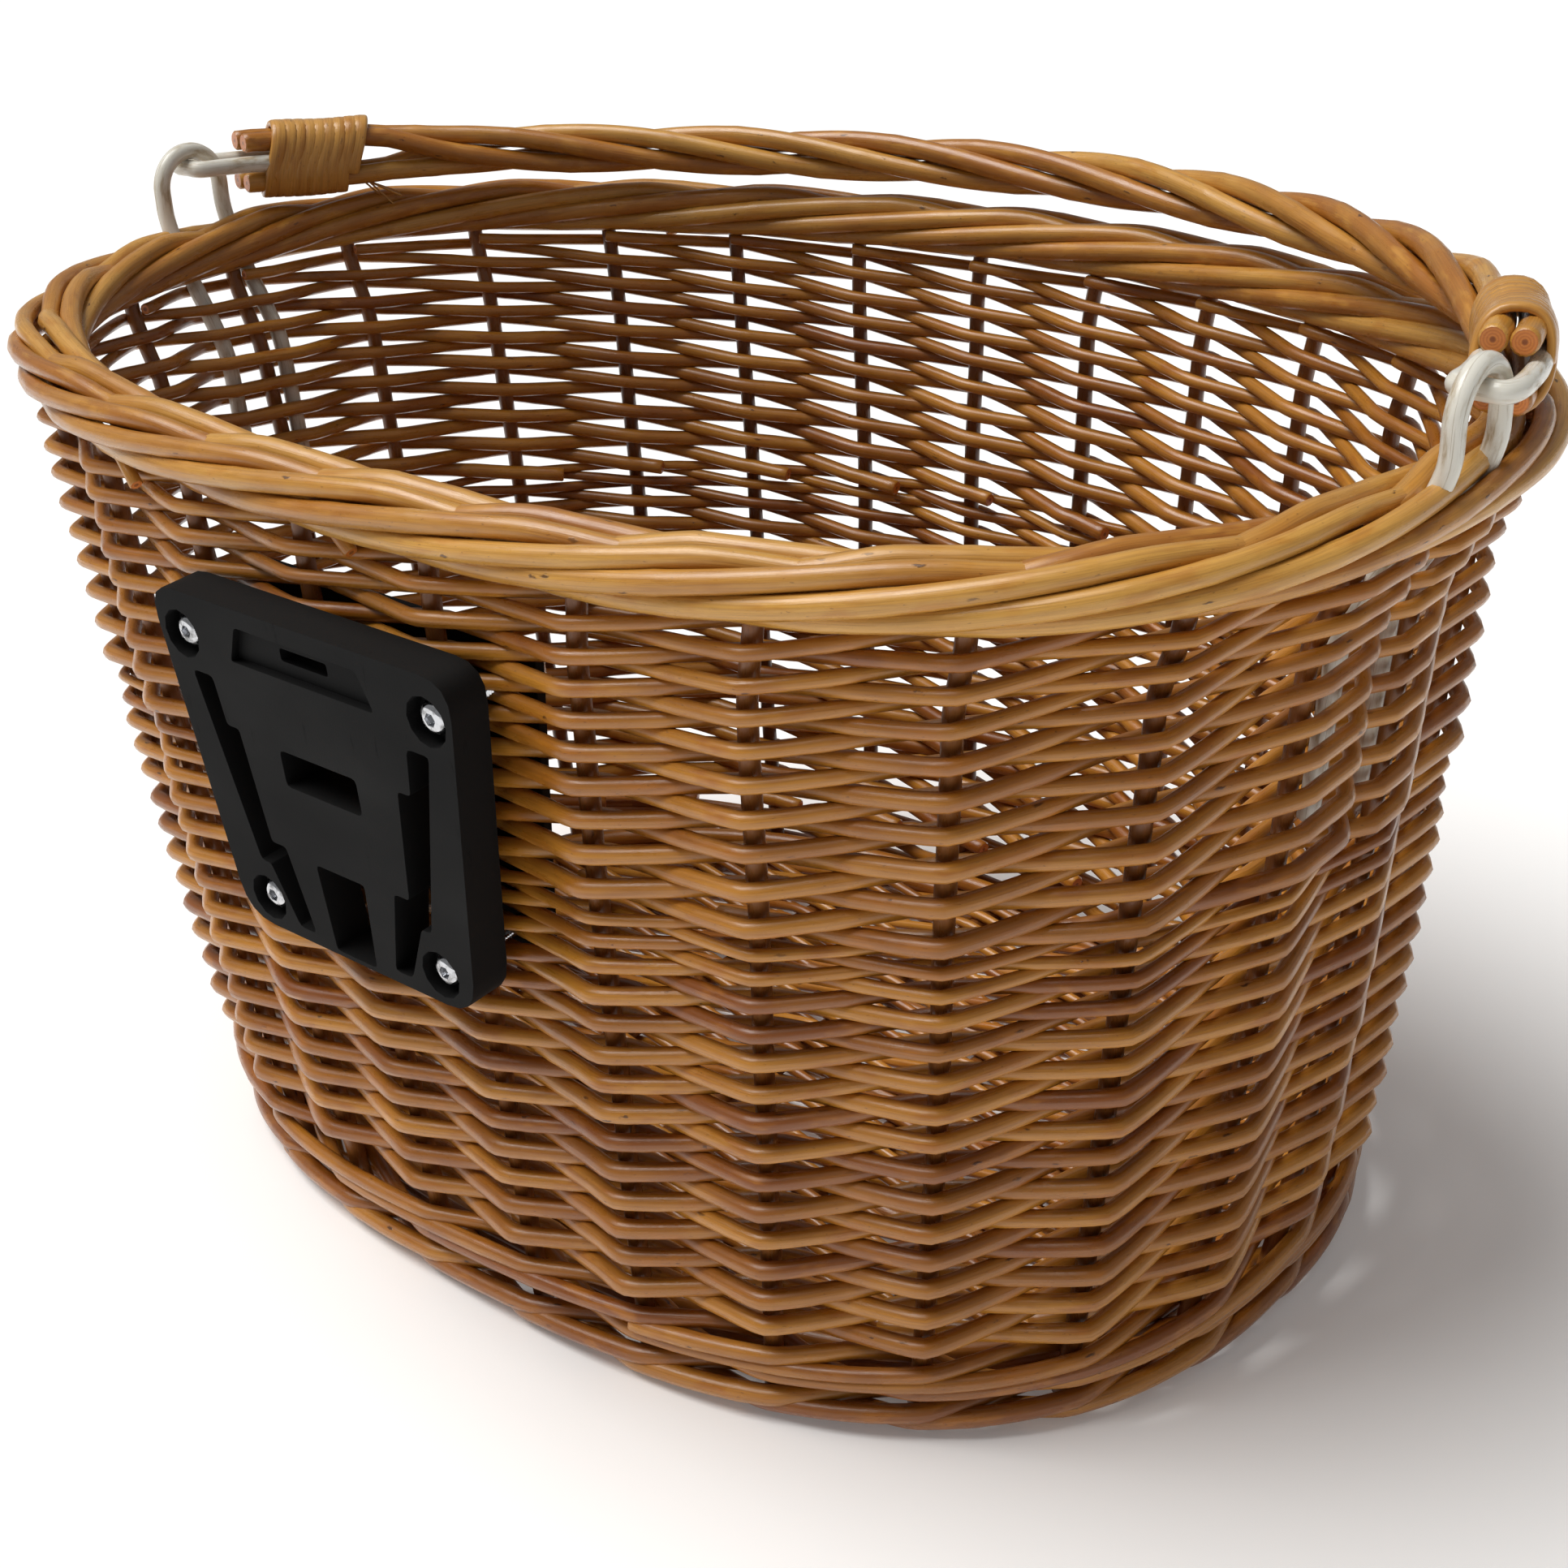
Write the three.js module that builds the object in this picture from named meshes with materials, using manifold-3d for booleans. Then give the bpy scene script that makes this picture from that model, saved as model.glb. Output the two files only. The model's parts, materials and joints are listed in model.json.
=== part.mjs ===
// A wicker handlebar basket with a roped swing handle and a quick-release plate.
// Millimetres, +Z up. X runs along the basket, -Y is the side with the mounting plate.
// The wall is an oval that flares upwards: its outline is a superellipse at every height.
import * as THREE from 'three';
import { mergeVertices } from 'three/addons/utils/BufferGeometryUtils.js';
import Module from 'manifold-3d';

const wasm = await Module();
wasm.setup();

// Wall outline at the rim level and at the floor.
const rimLevel = 250;
const rimLength = 419;
const rimFrontReach = 158.9;
const rimBackReach = 152;
const endFlare = 31.9;
const frontFlare = 22.5;
const backFlare = 22;
const footLength = rimLength - 2 * endFlare;
const footFrontReach = rimFrontReach - frontFlare;
const footBackReach = rimBackReach - backFlare;
const rimFrontSquareness = 2.97;
const rimBackSquareness = 2.1;
const footFrontSquareness = 2.55;
const footBackSquareness = 2.2;
const flarePower = 0.733;
const weaveThickness = 14;

// Weaving: a foot, two bands of rods and the rolled border above them.
const clearance = 0.35;
const seam = 0.4;
const borderSeam = 1;
const stakeTopDrop = 1;
const footHeight = 15;
const footOverhang = 1.5;
const footThickness = 17;
const upperBandHeight = 98;
const bandChange = rimLevel - upperBandHeight;
const stakeCount = 26;
const stakeDiameter = 5.4;
const stakeStart = -3;
const stakeFootDepth = 10;
const stakeBerth = 0.3;
const borderLength = rimLength + 5.8;
const borderFrontReach = rimFrontReach - 10.8;
const borderBackReach = rimBackReach - 5.5;
const borderFrontSquareness = 2.78;
const borderBackSquareness = 1.95;
const borderLevel = rimLevel - 12.5;
const borderRise = 6.3;
const borderHalfWidth = 11;
const borderHalfHeight = 8.6;

// Base: a woven slab over long sticks threaded through cross sticks.
const baseBottom = 2;
const baseTop = 13.5;
const crossStickDiameter = 8;
const crossStickSpacing = 52;
const crossStickCount = 5;
const longStickDiameter = 4.6;
const longStickSpacing = 46;
const longStickCount = 3;

// Handle: four rods twisted into a rope, with wire hoops and staples as its hinges.
const wireDiameter = 5.2;
const hingeOverhang = 6.2;
const hingeY = -22;
const hoopWidth = 22;
const hoopEndLevel = rimLevel - 85;
const hoopBendLevel = rimLevel - 24;
const bowReach = borderBackReach - hingeY + 2.7;
const bowSideSquareness = 1.87;
const bowReachSquareness = 1.65;
const bowDroop = THREE.MathUtils.degToRad(3.4);
const handleRodDiameter = 6;
const handleRodGap = 0.8;
const handleRodStart = 18;
const handleTwistTurns = -2.5;
const bindingStart = 22.5;
const bindingLength = 42;
const bindingThickness = 1.6;
const bindingRound = 1;
const bindingSides = 12;
const bindingAboveBorder = 2.975;
const stapleWidth = 12.4;
const stapleLength = 44;

// Quick-release plate, its backing plate and four screws.
const plateThickness = 11.2;
const plateTopMargin = 10.1;
const plateBottomMargin = 10.5;
const plateAboveScrews = 12;
const plateBelowScrews = 8.6;
const plateCornerRadius = 10;
const topScrewLevel = rimLevel - 49.7;
const bottomScrewLevel = topScrewLevel - 72.2;
const topScrewSpacing = 88.8;
const bottomScrewSpacing = 65;
const screwDiameter = 3.9;
const screwHeadDiameter = 8.8;
const screwHeadHeight = 3;
const screwRecessDiameter = 13;
const screwRecessDepth = 4.4;
const screwSocketWidth = 3;
const backingThickness = 3;
const backingRelief = 2.2;
const nutWidth = 7;
const nutHeight = 3.2;
const screwTail = 2;

const willow = new THREE.MeshStandardMaterial({ color: 0xb07a3c, roughness: 0.5 });
const borderWillow = new THREE.MeshStandardMaterial({ color: 0xc9924f, roughness: 0.45 });
const stakeWillow = new THREE.MeshStandardMaterial({ color: 0x5d3518, roughness: 0.6 });
const skein = new THREE.MeshStandardMaterial({ color: 0xbd8647, roughness: 0.45 });
const coatedWire = new THREE.MeshStandardMaterial({ color: 0xd8d5cc, roughness: 0.4 });
const blackPlastic = new THREE.MeshStandardMaterial({ color: 0x1b1c1e, roughness: 0.55 });
const steel = new THREE.MeshStandardMaterial({ color: 0xb9bcc0, roughness: 0.25, metalness: 1 });

const { lerp, smoothstep } = THREE.MathUtils;
const basket = new THREE.Group();

function signedPower(value, power) {
  return Math.sign(value) * Math.abs(value) ** power;
}

// An oval whose front half (-Y) and back half are superellipses with their own reach and squareness.
function ovalPoint(angle, oval) {
  const side = Math.sin(angle) < 0 ? oval.front : oval.back;
  const across = Math.abs(Math.cos(angle) / oval.halfLength) ** side.squareness;
  const along = Math.abs(Math.sin(angle) / side.reach) ** side.squareness;
  const radius = (across + along) ** (-1 / side.squareness);
  return new THREE.Vector3(radius * Math.cos(angle), radius * Math.sin(angle), 0);
}

// The point at a share of the oval's length, counted from its right-hand end towards the back.
const ovalSamples = 720;
const ovalTables = new Map();

function ovalTable(oval) {
  const key = JSON.stringify(oval);
  if (!ovalTables.has(key)) {
    const lengths = [0];
    for (let i = 1; i <= ovalSamples; i++) {
      const before = ovalPoint((2 * Math.PI * (i - 1)) / ovalSamples, oval);
      const point = ovalPoint((2 * Math.PI * i) / ovalSamples, oval);
      lengths.push(lengths[i - 1] + point.distanceTo(before));
    }
    ovalTables.set(key, lengths);
  }
  return ovalTables.get(key);
}

function ovalAtShare(share, oval) {
  const lengths = ovalTable(oval);
  const target = (share - Math.floor(share)) * lengths[ovalSamples];
  const index = lengths.findIndex((length) => length > target);
  const part = (target - lengths[index - 1]) / (lengths[index] - lengths[index - 1]);
  return ovalPoint((2 * Math.PI * (index - 1 + part)) / ovalSamples, oval);
}

// The wall's outline at a height, moved inwards by inset.
function wallOval(level, inset) {
  const rise = (Math.max(level, 0) / rimLevel) ** flarePower;
  return {
    halfLength: lerp(footLength, rimLength, rise) / 2 - inset,
    front: {
      reach: lerp(footFrontReach, rimFrontReach, rise) - inset,
      squareness: lerp(footFrontSquareness, rimFrontSquareness, rise),
    },
    back: {
      reach: lerp(footBackReach, rimBackReach, rise) - inset,
      squareness: lerp(footBackSquareness, rimBackSquareness, rise),
    },
  };
}

function wallPoint(share, level, inset = 0) {
  return ovalAtShare(share, wallOval(level, inset)).setZ(level);
}

// The centre line of the rolled border, which rises towards both ends of the basket.
const borderOval = {
  halfLength: borderLength / 2,
  front: { reach: borderFrontReach, squareness: borderFrontSquareness },
  back: { reach: borderBackReach, squareness: borderBackSquareness },
};

function borderPoint(share) {
  const point = ovalAtShare(share, borderOval);
  return point.setZ(borderLevel + borderRise * (2 * point.x / borderLength) ** 2);
}

// Shares that divide the outline into equal lengths, from a start given in millimetres at the rim.
function evenShares(count) {
  const start = stakeStart / ovalTable(wallOval(rimLevel, 0))[ovalSamples];
  return Array.from({ length: count }, (_, i) => start + i / count);
}

function facesToGeometry(points, triangles) {
  const geometry = new THREE.BufferGeometry();
  geometry.setAttribute('position', new THREE.Float32BufferAttribute(points.flatMap((p) => p.toArray()), 3));
  geometry.setIndex(triangles);
  return geometry;
}

// A closed ring: one section loop of points for each station round it.
function ringSolid(stations) {
  const count = stations.length;
  const sides = stations[0].length;
  const triangles = [];
  for (let i = 0; i < count; i++) {
    for (let j = 0; j < sides; j++) {
      const a = i * sides + j;
      const b = i * sides + ((j + 1) % sides);
      const c = ((i + 1) % count) * sides + ((j + 1) % sides);
      const d = ((i + 1) % count) * sides + j;
      triangles.push(a, c, b, a, d, c);
    }
  }
  return facesToGeometry(stations.flat(), triangles);
}

function polygon(radius, sides) {
  return new THREE.Shape(
    Array.from({ length: sides }, (_, i) => {
      const angle = (2 * Math.PI * (i + 0.5)) / sides;
      return new THREE.Vector2(radius * Math.cos(angle), radius * Math.sin(angle));
    }),
  );
}

// A rod of round section along a list of points.
function rodGeometry(points, diameter, sides, steps) {
  return new THREE.ExtrudeGeometry(polygon(diameter / 2, sides), {
    extrudePath: new THREE.CatmullRomCurve3(points, false, 'centripetal'),
    steps,
    bevelEnabled: false,
  });
}

// An upright rod with a level section at each of its points.
function uprightRod(points, diameter, sides) {
  const section = polygon(diameter / 2, sides).getPoints();
  const corners = points.flatMap((p) => section.map((q) => new THREE.Vector3(p.x + q.x, p.y + q.y, p.z)));
  const triangles = [];
  for (let level = 0; level < points.length - 1; level++) {
    for (let j = 0; j < sides; j++) {
      const a = level * sides + j;
      const b = level * sides + ((j + 1) % sides);
      triangles.push(a, b, b + sides, a, b + sides, a + sides);
    }
  }
  const top = (points.length - 1) * sides;
  for (let j = 1; j < sides - 1; j++) {
    triangles.push(0, j + 1, j, top, top + j, top + j + 1);
  }
  return facesToGeometry(corners, triangles);
}

function toManifold(geometry) {
  const bare = geometry.clone();
  bare.deleteAttribute('normal');
  bare.deleteAttribute('uv');
  const merged = mergeVertices(bare, 1e-4);
  return new wasm.Manifold(
    new wasm.Mesh({
      numProp: 3,
      vertProperties: new Float32Array(merged.attributes.position.array),
      triVerts: new Uint32Array(merged.index.array),
    }),
  );
}

function fromManifold(solid) {
  const mesh = solid.getMesh();
  const geometry = new THREE.BufferGeometry();
  geometry.setAttribute('position', new THREE.BufferAttribute(mesh.vertProperties, 3));
  geometry.setIndex(new THREE.BufferAttribute(mesh.triVerts, 1));
  return geometry;
}

function cut(geometry, cutters) {
  return fromManifold(cutters.reduce((rest, cutter) => rest.subtract(toManifold(cutter)), toManifold(geometry)));
}

function addPiece(parent, name, geometry, material) {
  const mesh = new THREE.Mesh(geometry, material);
  mesh.name = name;
  parent.add(mesh);
  return mesh;
}

// ---- The handle's bundle of rods and its bindings, which swing clear of the border's raised ends.
const strandOffset = (handleRodDiameter + handleRodGap) / 2;
const pinch = (wireDiameter + 2 * clearance) / 2;
const bundleRadius = Math.hypot(strandOffset, strandOffset + pinch) + handleRodDiameter / 2;
const boreRadius = (bundleRadius + clearance) / Math.cos(Math.PI / bindingSides);
const bindingRadius = boreRadius + bindingThickness;
const borderEndTop = borderLevel + borderRise + borderHalfHeight;
const hingeLevel = borderEndTop + bindingRadius + bindingAboveBorder;

// ---- Hinge hoops: wire arches whose legs run down through the border beside the stakes.
const hingeX = borderLength / 2 + hingeOverhang;
const hoopRadius = hoopWidth / 2;
const arcLevel = hingeLevel + wireDiameter + 0.3 - hoopRadius;
const legLevels = [hoopEndLevel, (hoopEndLevel + hoopBendLevel) / 2, hoopBendLevel];

function hoopPoints(side) {
  const centre = new THREE.Vector3(side * hingeX, hingeY, arcLevel);
  const inWall = (y, level) => {
    return new THREE.Vector3(side * wallOval(level, weaveThickness / 2).halfLength, y, level);
  };
  const leg = (y) => legLevels.map((z) => inWall(y, z));
  const arch = Array.from({ length: 7 }, (_, i) => {
    const angle = (Math.PI * i) / 6;
    return new THREE.Vector3(0, hoopRadius * Math.cos(angle), hoopRadius * Math.sin(angle)).add(centre);
  });
  return [...leg(hingeY + hoopRadius), ...arch, ...leg(hingeY - hoopRadius).reverse()];
}

const hoopSteps = 20;
const wireSides = 6;
const hoopTunnels = [1, -1].map((side) =>
  rodGeometry(hoopPoints(side), wireDiameter + 2 * clearance, wireSides, hoopSteps),
);

// ---- Mounting plate frame: local X is the basket's X, local Y runs up the plate, local Z points out.
const frontOfWall = (level) => ovalPoint(-Math.PI / 2, wallOval(level, 0)).setZ(level);
const topWall = frontOfWall(topScrewLevel);
const bottomWall = frontOfWall(bottomScrewLevel);
const plateTilt = Math.atan2(bottomWall.y - topWall.y, topWall.z - bottomWall.z);
const screwRowSpacing = topWall.distanceTo(bottomWall);
const plateFrame = new THREE.Group();
plateFrame.rotation.x = Math.PI / 2 + plateTilt;
const outwards = new THREE.Vector3(0, 0, 1).applyEuler(plateFrame.rotation);
plateFrame.position.copy(topWall).addScaledVector(outwards, plateThickness + seam);
basket.add(plateFrame);
plateFrame.updateMatrixWorld(true);

const screwPlaces = [
  [-topScrewSpacing / 2, 0],
  [topScrewSpacing / 2, 0],
  [-bottomScrewSpacing / 2, -screwRowSpacing],
  [bottomScrewSpacing / 2, -screwRowSpacing],
];
const backingFront = -(plateThickness + seam + weaveThickness + backingRelief);
const backingBack = backingFront - backingThickness;
const screwEnd = backingBack - 0.3 - nutHeight - screwTail;

// A round bar along the plate's normal, from one depth to another.
function barThrough([x, y], diameter, from, to, sides) {
  const bar = new THREE.CylinderGeometry(diameter / 2, diameter / 2, from - to, sides);
  return bar.rotateX(Math.PI / 2).translate(x, y, (from + to) / 2);
}

const screwTunnels = screwPlaces.map((place) =>
  barThrough(place, screwDiameter + 2 * clearance, 2, screwEnd, 8).applyMatrix4(plateFrame.matrixWorld),
);

// ---- Stakes, and the tunnels that they stand in.
const bandTop = (share) => borderPoint(share).z - borderHalfHeight - borderSeam;

function stakePoints(share, bottom, top) {
  const levels = [bottom, footHeight, (footHeight + bandChange) / 2, bandChange, top];
  return levels.map((level) => wallPoint(share, level, weaveThickness / 2));
}

// Where the hoop legs and the screws pass through the wall's middle, and how near a stake may come to them.
const wallMiddleDepth = -(plateThickness + seam + weaveThickness / 2);
const obstacles = [
  ...[1, -1].flatMap((side) => hoopPoints(side))
    .filter((point) => legLevels.includes(point.z))
    .map((point) => ({ point, nearest: (stakeDiameter + wireDiameter) / 2 + 2 * clearance + stakeBerth })),
  ...screwPlaces.map(([x, y]) => ({
    point: new THREE.Vector3(x, y, wallMiddleDepth).applyMatrix4(plateFrame.matrixWorld),
    nearest: (stakeDiameter + screwDiameter) / 2 + 2 * clearance + stakeBerth,
  })),
];

function isClear(share) {
  return obstacles.every(({ point, nearest }) => {
    return wallPoint(share, point.z, weaveThickness / 2).distanceTo(point) >= nearest;
  });
}

// A stake stands at its even place, or steps aside by the least distance that clears the wires and screws.
function steppedAside(share) {
  const stepShare = 1 / ovalTable(wallOval(rimLevel, 0))[ovalSamples];
  for (let step = 0; ; step++) {
    const found = [share + step * stepShare, share - step * stepShare].find(isClear);
    if (found !== undefined) return found;
  }
}

const stakeSides = 6;
const stakeShares = evenShares(stakeCount).map(steppedAside);
const stakeTunnels = stakeShares.map((share) =>
  uprightRod(
    stakePoints(share, footHeight - stakeFootDepth - clearance, bandTop(share) + 5),
    stakeDiameter + 2 * clearance,
    stakeSides,
  ),
);
stakeShares.forEach((share, i) => {
  const points = stakePoints(share, footHeight - stakeFootDepth, bandTop(share) - stakeTopDrop);
  const stake = uprightRod(points, stakeDiameter, stakeSides);
  addPiece(basket, `stake_${String(i + 1).padStart(2, '0')}`, stake, stakeWillow);
});

// ---- Foot, two weaving bands and border.
const ringShares = evenShares(2 * stakeCount);

function bandSection(share, levels) {
  const outer = levels.map((level) => wallPoint(share, level));
  const inner = levels.map((level) => wallPoint(share, level, weaveThickness));
  return [...outer, ...inner.reverse()];
}

const foot = ringSolid(
  ringShares.map((share) => {
    const top = footHeight - seam;
    return [
      wallPoint(share, 0, 2),
      wallPoint(share, 3, -footOverhang),
      wallPoint(share, top, -footOverhang),
      wallPoint(share, top, footThickness - footOverhang),
      wallPoint(share, 0, footThickness - footOverhang),
    ];
  }),
);
addPiece(basket, 'foot_wale', cut(foot, stakeTunnels), willow);

const lowerBand = ringSolid(
  ringShares.map((share) => bandSection(share, [footHeight, (footHeight + bandChange) / 2, bandChange - seam])),
);
addPiece(basket, 'lower_weave', cut(lowerBand, [...stakeTunnels, ...screwTunnels.slice(2)]), willow);

const upperBand = ringSolid(
  ringShares.map((share) => bandSection(share, [bandChange, (bandChange + bandTop(share)) / 2, bandTop(share)])),
);
const upperCutters = [...stakeTunnels, ...hoopTunnels, ...screwTunnels.slice(0, 2)];
addPiece(basket, 'upper_weave', cut(upperBand, upperCutters), willow);

const border = ringSolid(
  ringShares.map((share) => {
    const centre = borderPoint(share);
    const along = borderPoint(share + 0.002).sub(borderPoint(share - 0.002)).setZ(0);
    const away = new THREE.Vector3(along.y, -along.x, 0).normalize();
    return Array.from({ length: 8 }, (_, i) => {
      const angle = (Math.PI * (i - 0.5)) / 4;
      const width = borderHalfWidth * Math.cos(angle) / Math.cos(Math.PI / 8);
      const height = borderHalfHeight * Math.sin(angle) / Math.cos(Math.PI / 8);
      return centre.clone().addScaledVector(away, width).setZ(centre.z + height);
    });
  }),
);
addPiece(basket, 'top_border', cut(border, hoopTunnels), borderWillow);

[['right', 1], ['left', -1]].forEach(([name, side]) => {
  const hoop = rodGeometry(hoopPoints(side), wireDiameter, wireSides, hoopSteps);
  addPiece(basket, `${name}_hinge_hoop`, hoop, coatedWire);
});

// ---- Base: a slab woven over the sticks, inside the foot.
const baseInset = footThickness - footOverhang + seam;
const baseMiddle = (baseBottom + baseTop) / 2;
const baseOutline = new THREE.Shape(
  ringShares.map((share) => {
    const point = wallPoint(share, 0, baseInset);
    return new THREE.Vector2(point.x, point.y);
  }),
);
const slab = new THREE.ExtrudeGeometry(baseOutline, { depth: baseTop - baseBottom, bevelEnabled: false });
slab.translate(0, 0, baseBottom);

const crossStickPlaces = Array.from(
  { length: crossStickCount },
  (_, i) => (i - (crossStickCount - 1) / 2) * crossStickSpacing,
);
const longStickPlaces = Array.from(
  { length: longStickCount },
  (_, i) => (i - (longStickCount - 1) / 2) * longStickSpacing,
);
const baseHalfLength = footLength / 2 - baseInset;

// How far the base reaches towards the front or the back at a distance along it, less a margin.
function baseReach(x, reach, squareness) {
  return (reach - baseInset) * (1 - Math.abs(x / baseHalfLength) ** squareness) ** (1 / squareness);
}

function crossStick(x, diameter, margin) {
  const front = baseReach(x, footFrontReach, footFrontSquareness) + margin;
  const back = baseReach(x, footBackReach, footBackSquareness) + margin;
  const stick = new THREE.CylinderGeometry(diameter / 2, diameter / 2, front + back, 8);
  return stick.translate(x, (back - front) / 2, baseMiddle);
}

function longStick(y, diameter, margin) {
  const reach = y < 0 ? footFrontReach : footBackReach;
  const squareness = y < 0 ? footFrontSquareness : footBackSquareness;
  const part = (1 - (Math.abs(y) / (reach - baseInset)) ** squareness) ** (1 / squareness);
  const stick = new THREE.CylinderGeometry(diameter / 2, diameter / 2, 2 * (baseHalfLength * part + margin), 6);
  return stick.rotateZ(Math.PI / 2).translate(0, y, baseMiddle);
}

const stickMargin = 3;
const longStickTunnels = longStickPlaces.map((y) => longStick(y, longStickDiameter + 2 * clearance, stickMargin));
const crossStickTunnels = crossStickPlaces.map((x) => crossStick(x, crossStickDiameter + 2 * clearance, stickMargin));
addPiece(basket, 'base_weave', cut(slab, [...longStickTunnels, ...crossStickTunnels]), willow);
longStickPlaces.forEach((y, i) => {
  addPiece(basket, `base_long_stick_${i + 1}`, longStick(y, longStickDiameter, -stickMargin), stakeWillow);
});
crossStickPlaces.forEach((x, i) => {
  const stick = cut(crossStick(x, crossStickDiameter, -stickMargin), longStickTunnels);
  addPiece(basket, `base_cross_stick_${i + 1}`, stick, stakeWillow);
});

// ---- Handle: the bow's centre line lies in a plane that droops a little behind the hinge.
function bowPoint(turn) {
  const reach = bowReach * signedPower(Math.sin(turn), 2 / bowReachSquareness);
  return new THREE.Vector3(
    hingeX * signedPower(Math.cos(turn), 2 / bowSideSquareness),
    hingeY + reach * Math.cos(bowDroop),
    hingeLevel - reach * Math.sin(bowDroop),
  );
}

const bowSamples = 720;
const bowCurve = new THREE.CatmullRomCurve3(
  Array.from({ length: 73 }, (_, i) => bowPoint((Math.PI * i) / 72)),
  false,
  'centripetal',
);
bowCurve.arcLengthDivisions = bowSamples;
const bowLength = bowCurve.getLength();
const bowNormal = new THREE.Vector3(0, Math.sin(bowDroop), Math.cos(bowDroop));

// A point beside the bow: distance along it from the right hinge, offset sideways and upwards.
function besideBow(distance, sideways, upwards) {
  const part = distance / bowLength;
  const across = bowCurve.getTangentAt(part).cross(bowNormal).normalize();
  return bowCurve.getPointAt(part).addScaledVector(across, sideways).addScaledVector(bowNormal, upwards);
}

const bindingEnd = bindingStart + bindingLength;

// Near the hinges two rods lie above the wire and two below it; between the bindings all four twist.
function strandPoint(distance, sideSign, upSign) {
  const fromEnd = Math.min(distance, bowLength - distance);
  const spread = pinch * (1 - smoothstep(fromEnd, bindingEnd - 12, bindingEnd + 28));
  const twistStart = bindingEnd + 4;
  const part = THREE.MathUtils.clamp((distance - twistStart) / (bowLength - 2 * twistStart), 0, 1);
  const angle = 2 * Math.PI * handleTwistTurns * part;
  const sideways = sideSign * strandOffset;
  const upwards = upSign * (strandOffset + spread);
  return besideBow(
    distance,
    sideways * Math.cos(angle) - upwards * Math.sin(angle),
    sideways * Math.sin(angle) + upwards * Math.cos(angle),
  );
}

const strandSteps = 38;
[[1, 1], [-1, 1], [-1, -1], [1, -1]].forEach(([sideSign, upSign], i) => {
  const points = Array.from({ length: strandSteps + 1 }, (_, step) => {
    const distance = lerp(handleRodStart, bowLength - handleRodStart, step / strandSteps);
    return strandPoint(distance, sideSign, upSign);
  });
  addPiece(basket, `handle_rod_${i + 1}`, rodGeometry(points, handleRodDiameter, 6, strandSteps), borderWillow);
});

// Each binding is a sleeve of split skein wound round the rods and the staple's legs.
function bindingSolid(fromLeft) {
  const outer = [
    [bindingStart, bindingRadius - bindingRound],
    [bindingStart + bindingRound, bindingRadius],
    [bindingStart + bindingLength / 2, bindingRadius],
    [bindingEnd - bindingRound, bindingRadius],
    [bindingEnd, bindingRadius - bindingRound],
  ];
  const bore = [1, 0.5, 0].map((part) => [bindingStart + bindingLength * part, boreRadius]);
  const stations = Array.from({ length: bindingSides }, (_, side) => {
    const angle = (2 * Math.PI * side) / bindingSides;
    return [...outer, ...bore].map(([along, radius]) =>
      besideBow(fromLeft ? bowLength - along : along, radius * Math.cos(angle), radius * Math.sin(angle)),
    );
  });
  return ringSolid(fromLeft ? stations : stations.reverse());
}

// A staple is a wire U: its bar turns under the hoop and its legs run in between the rods.
function staplePoints(fromLeft) {
  const place = (along, sideways) => besideBow(fromLeft ? bowLength - along : along, sideways, 0);
  const half = stapleWidth / 2;
  const bend = 2.2;
  const legs = [stapleLength, 0.75 * stapleLength, 0.5 * stapleLength, 0.25 * stapleLength, bend];
  const centre = new THREE.Vector3(fromLeft ? -hingeX : hingeX, hingeY, hingeLevel);
  const bar = [half - bend / 2, 0, bend / 2 - half].map((x) => centre.clone().add(new THREE.Vector3(x, 0, 0)));
  const outer = legs.map((along) => place(along, half));
  const inner = legs.map((along) => place(along, -half)).reverse();
  return outer[0].x > inner[inner.length - 1].x
    ? [...outer, ...bar, ...inner]
    : [...outer, ...bar.reverse(), ...inner];
}

[['right', false], ['left', true]].forEach(([name, fromLeft]) => {
  addPiece(basket, `${name}_handle_binding`, bindingSolid(fromLeft), skein);
  const staple = rodGeometry(staplePoints(fromLeft), wireDiameter, wireSides, 24);
  addPiece(basket, `${name}_handle_staple`, staple, coatedWire);
});

// ---- Mounting plate with its windows, backing plate, screws and nuts.
const plateTopY = plateAboveScrews;
const plateBottomY = -screwRowSpacing - plateBelowScrews;

// A closed outline with every corner rounded to the radius given with it.
function roundedOutline(corners) {
  const shape = new THREE.Shape();
  corners.forEach(([x, y, radius], i) => {
    const corner = new THREE.Vector2(x, y);
    const before = new THREE.Vector2(...corners[(i + corners.length - 1) % corners.length]);
    const after = new THREE.Vector2(...corners[(i + 1) % corners.length]);
    const start = corner.clone().add(before.sub(corner).setLength(radius));
    const end = corner.clone().add(after.sub(corner).setLength(radius));
    if (i === 0) shape.moveTo(start.x, start.y);
    else shape.lineTo(start.x, start.y);
    shape.quadraticCurveTo(corner.x, corner.y, end.x, end.y);
  });
  shape.closePath();
  return shape;
}

function platePrism(corners, from, to, curveSegments = 2) {
  const prism = new THREE.ExtrudeGeometry(roundedOutline(corners), {
    depth: from - to,
    bevelEnabled: false,
    curveSegments,
  });
  return prism.translate(0, 0, to);
}

function mirrored(corners) {
  return corners.map(([x, y, radius]) => [-x, y, radius]).reverse();
}

const plateOutline = [
  [-topScrewSpacing / 2 - plateTopMargin, plateTopY, plateCornerRadius],
  [-bottomScrewSpacing / 2 - plateBottomMargin, plateBottomY, plateCornerRadius],
  [bottomScrewSpacing / 2 + plateBottomMargin, plateBottomY, plateCornerRadius],
  [topScrewSpacing / 2 + plateTopMargin, plateTopY, plateCornerRadius],
];
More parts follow.
